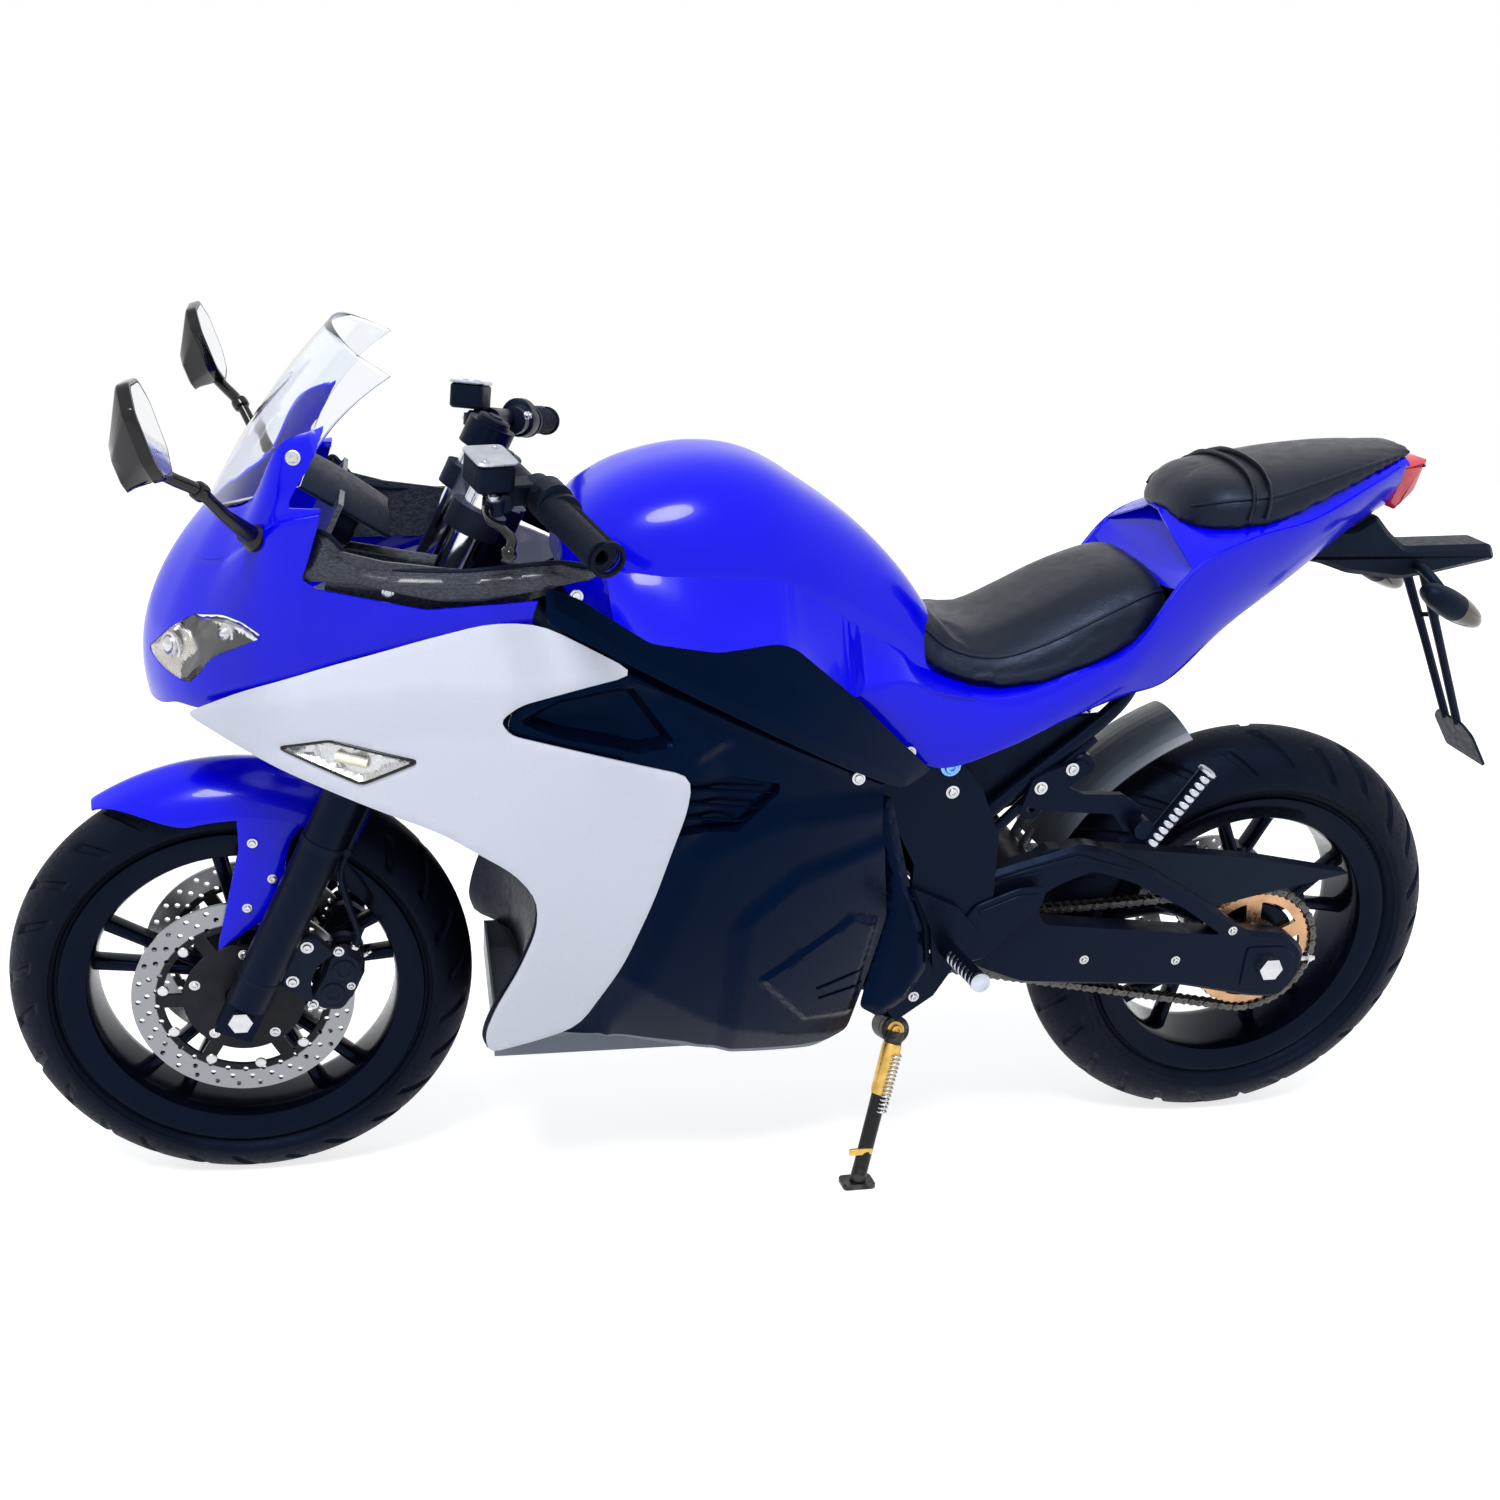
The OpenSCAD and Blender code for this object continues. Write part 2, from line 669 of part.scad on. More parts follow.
module windscreen() {
    color([0.8, 0.85, 0.9, 0.4]) parked()
        skin(band(screen_rows, 24, 8, 0), band(screen_rows, 24, 8, skin_t));
}

trim_y = 194;
hood_z = 44;
mirror_foot = [662, 186, 940];
mirror_bend = [700, 240, 1000];
mirror_dir = (mirror_bend - mirror_foot) / norm(mirror_bend - mirror_foot);
trim_outline = [[584, 838], [476, 842], [342, 878], [318, 897], [420, 905], [520, 915], [566, 926], [582, 886]];

// Frame of the instrument bulkhead, its x along the stay to the steering head
module at_dash() {
    translate([556, 0, 905]) rotate([0, -28, 0]) children();
}

module cockpit_trim() {
    color([0.04, 0.04, 0.045]) parked() difference() {
        union() {
            pair() side_plate(trim_outline, trim_y - 4, trim_y);
            at_dash() translate([30 + seat_gap, 0, 0]) rotate([90, 0, 90]) linear_extrude(6)
                polygon([[-192, -60], [192, -60], [192, -30], [120, hood_z - seat_gap],
                    [-120, hood_z - seat_gap], [-192, -30]]);
            rod(fork_pt(-28, 0, fork_len - 167), [607, 0, 881], 11);
            pair() rod([608, trim_y - 10, 878], [572, trim_y - 4, 872], 5);
        }
        at_fork() translate([-fork_offset, 0, 500]) cylinder(r = 33 + mount_gap, h = 250);
    }
}

module dash() {
    color([0.03, 0.03, 0.035]) parked() at_dash() union() {
        translate([0, -62, -20]) cube([30, 124, hood_z - 18]);
        translate([0, -62, 0]) cube([30, 124, hood_z + 2]);
        translate([-24, -80, hood_z]) cube([106, 160, 8]);
    }
}

head_outline = [[30, 0], [20, 40], [-6, 52], [-54, 40], [-74, 10], [-66, -34], [-40, -46], [10, -30]];

module mirrors() {
    color([0.04, 0.04, 0.045]) parked() pair() union() {
        rod(mirror_foot + mirror_dir * seat_gap, mirror_bend, 8);
        rod(mirror_bend, [731, 282, 1036], 8);
        ball(mirror_bend, 9.5);
        translate([726, 284, 1038]) rotate([0, 80, 12]) linear_extrude(30, scale = 0.6) polygon(head_outline);
    }
}

white_outline = [[744, 720], [680, 757], [580, 799], [480, 834], [405, 855], [350, 855], [295, 830],
    [240, 803], [305, 786], [373, 766], [395, 747], [383, 729], [327, 715], [172, 676],
    [175, 632], [190, 580], [208, 510], [240, 412], [290, 316], [338, 295], [400, 274],
    [406, 305], [394, 348], [366, 412], [347, 472], [348, 516], [375, 552], [460, 606],
    [528, 630], [588, 652], [650, 674], [715, 706]];
turn_outline = [[640, 697], [581, 713], [483, 695], [547, 662]];

// Skin of the side fairing between two corners of the side view, moved inward by d
module wing_skin(x0, x1, z0, z1, nx, nz, d, t) {
    o = [for (i = [0 : nx]) [for (j = [0 : nz]) let (x = lerp(x1, x0, i / nx), z = lerp(z0, z1, j / nz))
        [x, wing(x, z) - d, z]]];
    q = [for (r = o) [for (p = r) p - [0, t, 0]]];
    skin(o, q);
}

module side_fairings() {
    color([0.86, 0.88, 0.95]) parked() pair() union() {
        difference() {
            intersection() {
                wing_skin(150, 750, 250, 900, 12, 13, 0, skin_t);
                side_plate(white_outline, 20, 300);
            }
            side_plate(turn_outline, 20, 300);
        }
        for (p = [[205, 640], [250, 450], [330, 330], [300, 688]]) short_boss(p[0], p[1]);
    }
}

// Short boss from an outer panel onto the lower panel behind it
module short_boss(x, z) {
    r = 7;
    near = max([for (a = [0 : 45 : 315]) wing(x + r * cos(a), z + r * sin(a))]);
    boss(x, z, r, near - lower_in + seat_gap, wing(x, z) - 1.2);
}

module front_indicators() {
    color([0.7, 0.7, 0.72]) parked() pair() intersection() {
        wing_skin(450, 650, 650, 750, 4, 2, 1, 12);
        side_plate([for (p = turn_outline) lerp(p, [563, 692], 0.006)], 20, 300);
    }
}

mid_outline = [[345, 896], [306, 883], [227, 836], [146, 823], [74, 830], [52, 823], [-20, 765],
    [-142, 652], [-155, 640], [-108, 626], [-32, 664], [119, 746], [236, 805], [294, 833], [345, 858]];

module mid_panels() {
    color([0.07, 0.07, 0.08]) parked() pair() union() {
        intersection() {
            wing_skin(-200, 350, 600, 900, 11, 6, 0, skin_t);
            side_plate(mid_outline, 20, 300);
        }
        for (p = [[180, 800], [60, 735], [-50, 680]]) short_boss(p[0], p[1]);
    }
}

lower_outline = [[385, 748], [300, 800], [225, 832], [120, 784], [-30, 706], [-92, 660], [-84, 594],
    [-96, 520], [-112, 440], [-96, 330], [-84, 250], [-37, 228], [127, 256], [290, 296], [392, 286],
    [350, 420], [330, 520], [380, 600]];

module lower_panels() {
    color([0.05, 0.05, 0.06]) parked() pair() union() {
        intersection() {
            wing_skin(-150, 400, 200, 850, 11, 13, lower_in, skin_t);
            side_plate(lower_outline, 20, 300);
        }
        for (p = [[60, 480], [-40, 600], [190, 560]])
            boss(p[0], p[1], 12, battery_half + seat_gap, wing(p[0], p[1]) - lower_in - 1.2);
    }
}

case_outline = [[-90, 600], [-80, 560], [-98, 520], [-112, 480], [-118, 440], [-101, 330], [-95, 290],
    [-125, 272], [-160, 298], [-184, 345], [-174, 408], [-145, 476], [-120, 560], [-108, 600]];

module case_covers() {
    in_y = plate_y + plate_t + seat_gap;
    color([0.05, 0.05, 0.06]) parked() pair() side_plate(case_outline, in_y, in_y + skin_t);
}

belly_plan = [[390, -140], [390, 140], [40, 140], [-66, 106], [-66, -106], [40, -140]];

module belly_pan() {
    color([0.05, 0.05, 0.06]) parked() union() {
        translate([0, 0, 236]) linear_extrude(4) polygon(belly_plan);
        translate([0, 0, 236]) linear_extrude(48) difference() {
            polygon(belly_plan);
            offset(delta = -skin_t) polygon(belly_plan);
        }
        for (x = [200, -50], y = [-60, 60]) translate([x, y, 238])
            cylinder(r = 9, h = rail_z - rail_r + 1 - seat_gap - 238);
    }
}

// Seat rows: x, half width, low z, top z, power
seat_rows = [
    [-134, 88, 768, 852, 2.6], [-180, 104, 752, 806, 2.8], [-240, 120, 746, 800, 2.8],
    [-300, seat_half, 756, 826, 2.8], [-360, 136, 778, 858, 2.8], [-420, 130, 800, 884, 2.8],
    [-452, 122, 816, 888, 2.8], [-472, 106, 832, 870, 2.6]];

module rider_seat() {
    color([0.05, 0.05, 0.055]) parked() difference() {
        union() {
            loft([for (row = stations(seat_rows, 18)) dome(row, 18)]);
            for (s = [-1, 1]) translate([-300, 60 * s, 707 + seat_gap]) cylinder(r = 10, h = 66);
        }
        loft([for (row = stations(tank_rows, 24)) let (r = [row[0], row[1] + 2, row[2] - 3, row[3] + 2, row[4]])
            if (row[0] < 0) dome(r, 20)]);
    }
}

pass_rows = [
    [-486, 40, 944, 962, 2.4], [-498, 78, 940, 988, 2.6], [-530, 106, 942, 1008, 2.8],
    [-590, 118, 954, 1018, 2.8], [-660, 106, 980, 1032, 2.8], [-740, 82, 1010, 1043, 2.8],
    [-818, 46, 1034, 1049, 2.8]];

module passenger_seat() {
    color([0.05, 0.05, 0.055]) parked() union() {
        loft([for (row = stations(pass_rows, 18)) dome(row, 18)]);
        for (s = [-1, 1]) translate([-600, 40 * s, 884.4 + seat_gap]) cylinder(r = 10, h = 90);
    }
}

// Tail rows: x, half width at the top, top z, half width at the bottom, bottom z
tail_rows = [
    [-40, 162, 756, 162, 742], [-75, 160, 760, 160, 702], [-110, 157, 760, 157, 668],
    [-170, 153, 742, 154, 640], [-250, 156, 736, 158, 668],
    [-330, 152, 764, 152, 704], [-410, 146, 800, 134, 728], [-480, 138, 900, 118, 745],
    [-560, 128, 940, 98, 812], [-650, 112, 962, 76, 872], [-740, 86, 1002, 56, 938],
    [-800, 60, 1026, 34, 966]];

function tail_ring(r, d) = [
    [r[0], -r[1] + d, r[2]], [r[0], -lerp(r[1], r[3], 0.5) - 6 + d, lerp(r[2], r[4], 0.5)],
    [r[0], -r[3] + d, r[4] + d], [r[0], r[3] - d, r[4] + d],
    [r[0], lerp(r[1], r[3], 0.5) + 6 - d, lerp(r[2], r[4], 0.5)], [r[0], r[1] - d, r[2]]];

tail_seat = 930;
hump_outline = [[-454, 902], [-481, 940], [-495, 934], [-495, 875], [-483, 875], [-475, 888]];

module tail_cowl() {
    s = stations(tail_rows, 33);
    color([0.02, 0.0, 0.9]) parked() union() {
        difference() {
            skin([for (r = s) tail_ring(r, 0)],
                [for (r = s) tail_ring(r, skin_t)]);
            translate([-430, -138, 600]) cube([400, 276, 300]);
            translate([-280, -150, 600]) cube([250, 300, 300]);
        }
        side_plate(hump_outline, -80, 80);
        translate([-760, -22, tail_seat]) cube([16 - mount_gap, 44, 44]);
        side_plate([[-477, 862], [-501, 862], [-501, 899], [-477, 895]], -136.5, 136.5);
    }
}

light_outline = [[-800 - seat_gap, 1024], [-845, 1030], [-836, 985], [-812, 958], [-800 - seat_gap, 966]];

module tail_light() {
    color([0.6, 0.02, 0.03]) parked() side_plate(light_outline, -46, 46);
}

fender_outline = [[-690, 884], [-740, tail_seat - seat_gap], [-766, tail_seat - seat_gap], [-796, 950],
    [-822, 925], [-850, 905], [-985, 911], [-997, 889], [-900, 866], [-850, 858], [-770, 866], [-724, 880]];
plate_at = [-1030, 0, 612];
plate_tilt = 35.6;

module rear_fender() {
    color([0.05, 0.05, 0.055]) parked() difference() {
        union() {
            side_plate(fender_outline, -30, 30);
            pair() rod([-888, 24, 872], [-1015, 14, 633], 6);
            translate(plate_at) rotate([0, plate_tilt, 0]) translate([-2, -46, -38]) cube([4, 92, 76]);
        }
        plate_holes();
    }
}

module plate_holes() {
    translate(plate_at) rotate([0, plate_tilt, 0])
        for (s = [-1, 1]) translate([-20, s * plate_hole_span / 2, 0]) rotate([0, 90, 0])
            cylinder(r = plate_hole_r, h = 40);
}

module rear_indicators() {
    color([0.06, 0.06, 0.065]) parked() pair() union() {
        boss(-872, 880, 8, 30 + seat_gap, 42);
        rod([-872, 38, 880], [-892, 80, 850], 7);
        translate([-899, 92, 844]) rotate([0, 26, 0]) scale([1, 0.5, 0.42]) sphere(54, $fn = 32);
    }
}

module rider_pegs() {
    out_y = plate_y + plate_t + seat_gap;
    color([0.55, 0.57, 0.62]) parked() pair() union() {
        side_plate([[-150, 470], [-215, 440], [-250, 400], [-235, 360], [-190, 350], [-180, 410]],
            out_y, out_y + 10);
        rod([-205, out_y + 8, 380], [-215, 262, 388], 12);
    }
}

hanger_outline = [[-290, 580], [-300, 618], [-318, 628], [-362, 645], [-380, 632], [-352, 606],
    [-372, 596], [-430, 594], [-462, 574], [-462, 544], [-440, 540], [-420, 566], [-330, 572]];

module passenger_pegs() {
    color([0.5, 0.5, 0.52]) parked() pair() union() {
        side_plate(hanger_outline, plate_y, plate_y + 10);
        boss(-458, 552, 14, plate_y + 4, 168);
        rod([-470, 164, 530], [-531, 170, 635], 11);
    }
}

// Steering

module fork_sliders() {
    color([0.05, 0.05, 0.055]) parked() difference() {
        union() {
            at_fork() pair() {
                translate([0, fork_y, 20]) cylinder(r = slider_r, h = slider_len - 20);
                translate([-24, 85, -28]) cube([48, 27, 70]);
                translate([0, fork_y, slider_len - 30]) cylinder(r = slider_r + 3, h = 30);
            }
        }
        at_front() boss(0, 0, axle_r + seat_gap, -140, 140);
        at_fork() pair() translate([0, fork_y, 60]) cylinder(r = tube_r + seat_gap, h = fork_len);
    }
}

module fork_tubes() {
    color([0.78, 0.78, 0.8]) parked() at_fork() pair()
        translate([0, fork_y, 60 + seat_gap]) cylinder(r = tube_r, h = fork_len - 60);
}

// One yoke with clamps for both legs and the stem, at height z in the fork frame
module yoke(z, t) {
    translate([0, 0, z]) difference() {
        linear_extrude(t) union() {
            for (s = [-1, 1]) translate([0, s * fork_y]) circle(tube_r + 12);
            polygon([[16, fork_y - 20], [16, 20 - fork_y], [-fork_offset - 24, -36], [-fork_offset - 24, 36]]);
            translate([-fork_offset, 0]) circle(34);
        }
        for (s = [-1, 1]) translate([0, s * fork_y, -1]) cylinder(r = tube_r + seat_gap, h = t + 2);
    }
}

module yokes() {
    color([0.07, 0.07, 0.075]) parked() at_fork() union() {
        yoke(fork_len - 280, 38);
        yoke(fork_len - 98, 30);
        translate([-fork_offset, 0, fork_len - 272]) cylinder(r = 25.4, h = 190);
        translate([-fork_offset, 0, fork_len - 72]) cylinder(r = 18, h = 14, $fn = 6);
    }
}

bar_in = fork_pt(9, fork_y + 6, fork_len - 2);
bar_out = [bar_in[0] - 89, bar_half, bar_in[2] - 48];
bar_dir = (bar_out - bar_in) / norm(bar_out - bar_in);

module handlebars() {
    color([0.07, 0.07, 0.075]) parked() difference() {
        union() {
            for (s = [-1, 1]) rod(on_side(bar_in, s), on_side(bar_out - bar_dir * bar_recess, s), bar_r);
            at_fork() pair() translate([0, fork_y, fork_len - 40]) cylinder(r = tube_r + 10, h = 34);
        }
        at_fork() pair() translate([0, fork_y, fork_len / 2]) cylinder(r = tube_r + seat_gap, h = fork_len);
        for (s = [-1, 1])
            rod(on_side(bar_out - bar_dir * (bar_bore_len + bar_recess), s),
                on_side(bar_out + bar_dir * 10, s), bar_bore_r);
    }
}

module grips() {
    color([0.04, 0.04, 0.04]) parked() for (s = [-1, 1]) difference() {
        rod(on_side(bar_out - bar_dir * grip_len, s), on_side(bar_out, s), grip_r);
        rod(on_side(bar_out - bar_dir * (grip_len + 5), s), on_side(bar_out - bar_dir * bar_recess, s),
            bar_r + seat_gap);
        rod(on_side(bar_out - bar_dir * 10, s), on_side(bar_out + bar_dir * 10, s), bar_bore_r + 1.5);
    }
}

module controls() {
    box_in = bar_out - bar_dir * (grip_len + 40);
    box_out = bar_out - bar_dir * (grip_len + 3);
    mid = bar_out - bar_dir * (grip_len + 60);
    color([0.06, 0.06, 0.065]) parked() pair() difference() {
        union() {
            rod(box_in, box_out, 21);
            rod(mid, box_in + bar_dir * 2, 18);
            translate(mid + [6, -12, -8]) cube([40, 26, 24]);
            translate(mid + [26, -16, 12]) cube([50, 54, 38]);
            translate(box_in + [12, -2, -12]) cube([46, 22, 14]);
            translate([0, 0, box_in[2] - 12]) rotate([0, -2, 0]) linear_extrude(12) polygon([
                [box_in[0] + 46, box_in[1]], [box_in[0] + 60, box_in[1]],
                [bar_out[0] + 70, bar_out[1] - 8], [bar_out[0] + 60, bar_out[1] - 4]]);
        }
        rod(bar_in, bar_out, bar_r + seat_gap);
    }
}

leg_outline = [[702, 556], [701, 511], [714, 456], [734, 368], [693, 399], [645, 432], [650, 468],
    [640, 518], [622, 542], [640, 548], [672, 554]];

module front_fender() {
    crown = front_crown + 18;
    leg_in = front_disc_y + disc_t / 2 + 5.5;
    color([0.02, 0.0, 0.9]) parked() union() {
        at_front() rotate([90, 0, 0]) rotate([0, 0, 58]) rotate_extrude(angle = 64, $fn = 72) polygon(concat(
            arc_pts(front_tyre_r - front_crown, 0, crown, -76, 76, 16),
            arc_pts(front_tyre_r - front_crown, 0, crown - skin_t, 76, -76, 16)));
        pair() side_plate(leg_outline, leg_in, fork_y - slider_r - seat_gap);
    }
}

module front_calipers() {
    color([0.05, 0.05, 0.055]) parked() pair() difference() {
        at_fork() union() {
            translate([-122, front_disc_y - 27, 32]) cube([56, 58, 96]);
            translate([-74, fork_y - 12, 60]) cube([46.2, 12, 70]);
            translate([-90, front_disc_y + 18, 60]) cube([30, 24, 70]);
        }
        at_front() hoop(0, front_disc_r + 4, front_disc_y - disc_t / 2 - 3, front_disc_y + disc_t / 2 + 3);
        at_fork() translate([0, fork_y, 0]) cylinder(r = slider_r + seat_gap, h = 300);
        at_front() hoop(0, 86, -10, front_disc_y);
    }
}

// Side stand

module side_stand() {
    color([0.06, 0.06, 0.065]) parked() union() {
        rod([stand_x, stand_y + 13, stand_z + 4], [foot_x, foot_y, foot_z + 8], stand_r);
        at_stand() boss(0, 0, 20, 0, 14);
        translate([foot_x, foot_y, foot_z]) rotate([lean, 0, 0]) translate([0, 0, 4])
            cube([46, 34, 8], center = true);
    }
}

frame();
subframe();
battery_pack();
motor();
swingarm();
rear_shock();
chain();
chain_guard();
hugger();
rear_axle();
rear_caliper();
tank_cover();
nose_fairing();
windscreen();
headlights();
cockpit_trim();
dash();
mirrors();
side_fairings();
front_indicators();
mid_panels();
lower_panels();
case_covers();
belly_pan();
rider_seat();
passenger_seat();
tail_cowl();
tail_light();
rear_fender();
rear_indicators();
rider_pegs();
passenger_pegs();
fork_sliders();
fork_tubes();
yokes();
handlebars();
grips();
controls();
front_fender();
front_calipers();
front_axle();
front_rim();
front_tyre();
front_discs();
rear_rim();
rear_tyre();
rear_sprocket();
rear_disc();
side_stand();
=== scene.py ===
import json
import math
import bpy
import bmesh
import numpy as np
from mathutils import Matrix, Vector
from mathutils.bvhtree import BVHTree
from mathutils.geometry import delaunay_2d_cdt


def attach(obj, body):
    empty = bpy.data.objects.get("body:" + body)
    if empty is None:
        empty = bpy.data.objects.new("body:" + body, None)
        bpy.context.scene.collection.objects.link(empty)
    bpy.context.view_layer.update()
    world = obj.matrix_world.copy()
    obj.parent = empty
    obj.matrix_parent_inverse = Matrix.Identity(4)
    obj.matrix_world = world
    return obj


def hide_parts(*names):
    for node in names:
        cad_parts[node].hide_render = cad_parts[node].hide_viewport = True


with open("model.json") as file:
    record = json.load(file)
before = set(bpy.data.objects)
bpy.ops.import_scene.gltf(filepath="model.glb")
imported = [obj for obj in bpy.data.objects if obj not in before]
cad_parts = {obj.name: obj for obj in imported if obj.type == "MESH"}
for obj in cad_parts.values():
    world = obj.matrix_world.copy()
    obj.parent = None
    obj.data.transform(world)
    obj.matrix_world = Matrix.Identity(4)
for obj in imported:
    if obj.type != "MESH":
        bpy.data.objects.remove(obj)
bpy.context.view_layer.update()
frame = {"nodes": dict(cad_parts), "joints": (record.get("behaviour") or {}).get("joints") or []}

NODES = frame["nodes"]
JOINTS = {j["name"]: j for j in frame["joints"]}
SCENE = bpy.context.scene

# Bike frame: millimetres, x forward, y to the bike's left, z up along the bike, before it leans on its stand
FRONT_POS = Vector(JOINTS["front_wheel_spin"]["pos_m"])
REAR_POS = Vector(JOINTS["rear_wheel_spin"]["pos_m"])
AXLE_DIR = Vector(JOINTS["front_wheel_spin"]["axis"])
LEAN = math.atan2(-AXLE_DIR.z, AXLE_DIR.y)
FX = 500 * (FRONT_POS.x - REAR_POS.x)
FZ = 1000 * FRONT_POS.z / math.cos(LEAN)
RX = -FX
RZ = 1000 * REAR_POS.z / math.cos(LEAN)
SHIFT = Vector(((FRONT_POS.x + REAR_POS.x) / 2, FRONT_POS.y - FZ / 1000 * math.sin(LEAN), 0))
BIKE = Matrix.Translation(SHIFT) @ Matrix.Rotation(-LEAN, 4, "X") @ Matrix.Scale(0.001, 4)
BIKE_NP = np.array(BIKE)
RAKE = math.radians(24)


def row(p):
    """A point of the bike frame in the row frame, in metres."""
    return BIKE @ Vector(p)


def fork_pt(x, y, z):
    """A point given along the raked fork, from the front axle."""
    return (FX + x * math.cos(RAKE) - z * math.sin(RAKE), y, FZ + x * math.sin(RAKE) + z * math.cos(RAKE))


def fork_dir(x, y, z):
    return tuple(Vector(fork_pt(x, y, z)) - Vector(fork_pt(0, 0, 0)))


# Camera
def make_camera():
    yaw, pitch, roll = (math.radians(a) for a in (13.457, 22.223, 4.342))
    d = Vector((-math.sin(yaw) * math.cos(pitch), -math.cos(yaw) * math.cos(pitch), -math.sin(pitch)))
    r = d.cross(Vector((0, 0, 1))).normalized()
    u = r.cross(d)
    r2 = math.cos(roll) * r + math.sin(roll) * u
    u2 = -math.sin(roll) * r + math.cos(roll) * u
    turn = Matrix.Rotation(-LEAN, 3, "X")
    axes = Matrix((turn @ r2, turn @ u2, turn @ -d)).transposed().to_4x4()
    data = bpy.data.cameras.new("photo_camera")
    data.lens = 37.857
    data.sensor_width = 36
    cam = bpy.data.objects.new("photo_camera", data)
    cam.matrix_world = Matrix.Translation(row((502.2, 1904.2, 1404.6))) @ axes
    SCENE.collection.objects.link(cam)
    SCENE.camera = cam


make_camera()


# Materials
class Graph:
    def __init__(self, name):
        self.mat = bpy.data.materials.new(name)
        self.mat.use_nodes = True
        self.nodes = self.mat.node_tree.nodes
        self.links = self.mat.node_tree.links
        self.bsdf = self.nodes["Principled BSDF"]
        self.coord = self.nodes.new("ShaderNodeTexCoord").outputs["Object"]

    def new(self, kind, **values):
        node = self.nodes.new("ShaderNode" + kind)
        for key, value in values.items():
            if key in node.inputs:
                node.inputs[key].default_value = value
            else:
                setattr(node, key, value)
        return node

    def noise(self, scale, detail):
        node = self.new("TexNoise", Scale=scale, Detail=detail, Roughness=0.5)
        self.links.new(self.coord, node.inputs["Vector"])
        return node.outputs["Fac"]

    def ramp(self, fac, stops):
        node = self.nodes.new("ShaderNodeValToRGB")
        els = node.color_ramp.elements
        while len(els) < len(stops):
            els.new(0.5)
        for el, (at, col) in zip(els, stops):
            el.position = at
            el.color = tuple(col) + (1.0,) if len(col) == 3 else col
        self.links.new(fac, node.inputs["Fac"])
        return node.outputs["Color"]

    def remap(self, fac, lo, hi, a=0.3, b=0.7):
        ends = {"From Min": a, "From Max": b, "To Min": lo, "To Max": hi}
        node = self.new("MapRange", **ends)
        self.links.new(fac, node.inputs["Value"])
        return node.outputs["Result"]

    def bump(self, height, strength, distance, normal=None):
        node = self.new("Bump", Strength=strength, Distance=distance)
        self.links.new(height, node.inputs["Height"])
        if normal:
            self.links.new(normal, node.inputs["Normal"])
        return node.outputs["Normal"]

    def to(self, out, socket):
        self.links.new(out, self.bsdf.inputs[socket])

    def constants(self, values):
        for socket, value in values.items():
            self.bsdf.inputs[socket].default_value = value


def shade(c, k):
    return tuple(min(1.0, max(0.0, v * k)) for v in c)


def surface(name, color, rough, metal=0.0, coat=0.0, spec=0.5, cvar=0.06, rvar=0.06, scale=9.0,
            grain=600.0, bump=0.1, depth=0.0002, wear=0.0, worn=(0.3, 0.3, 0.31), ripple=0.0, tint=None):
    g = Graph(name)
    g.constants({"Metallic": metal, "Specular IOR Level": spec, "Coat Weight": coat,
                 "Coat Roughness": 0.04})
    # A tint paints a colour into the reflections, a painted reflection of sky
    if tint:
        g.constants({"Specular Tint": tuple(tint) + (1.0,)})
    cloud = g.noise(scale, 5.0)
    stops = [(0.3, shade(color, 1 - cvar)), (0.7, shade(color, 1 + cvar))]
    base = g.ramp(cloud, stops)
    if wear:
        geo = g.nodes.new("ShaderNodeNewGeometry")
        edge = g.remap(geo.outputs["Pointiness"], 0.0, 1.0, 0.53, 0.6)
        patch = g.remap(g.noise(90.0, 6.0), 0.0, 1.0, 0.45, 0.7)
        mul = g.new("Math", operation="MULTIPLY")
        g.links.new(edge, mul.inputs[0])
        g.links.new(patch, mul.inputs[1])
        mix = g.nodes.new("ShaderNodeMixRGB")
        mix.inputs["Color2"].default_value = tuple(worn) + (1.0,)
        g.links.new(g.remap(mul.outputs[0], 0.0, wear, 0.0, 1.0), mix.inputs["Fac"])
        g.links.new(base, mix.inputs["Color1"])
        base = mix.outputs["Color"]
    g.to(base, "Base Color")
    g.to(g.remap(g.noise(scale * 7, 6.0), max(0.02, rough - rvar), rough + rvar), "Roughness")
    fine = g.bump(g.noise(grain, 3.0), bump, depth)
    if ripple:
        fine = g.bump(g.noise(26.0, 2.0), ripple, 0.0006, fine)
    g.to(fine, "Normal")
    return g.mat


def leather(name, color):
    g = Graph(name)
    # Painted reflection: a blue specular tint stands in for sky in the seat's reflections
    g.constants({"Specular IOR Level": 0.34, "Sheen Weight": 0.02, "Specular Tint": (0.5, 0.66, 1.0, 1.0)})
    cells = g.new("TexVoronoi", Scale=420.0, feature="DISTANCE_TO_EDGE")
    g.links.new(g.coord, cells.inputs["Vector"])
    pores = g.remap(cells.outputs["Distance"], 0.0, 1.0, 0.0, 0.16)
    g.to(g.ramp(g.noise(14.0, 6.0), [(0.3, shade(color, 0.8)), (0.72, shade(color, 1.25))]), "Base Color")
    g.to(g.remap(g.noise(60.0, 6.0), 0.3, 0.42), "Roughness")
    fine = g.bump(pores, 0.32, 0.0003)
    g.to(g.bump(g.noise(34.0, 4.0), 0.22, 0.0015, fine), "Normal")
    return g.mat


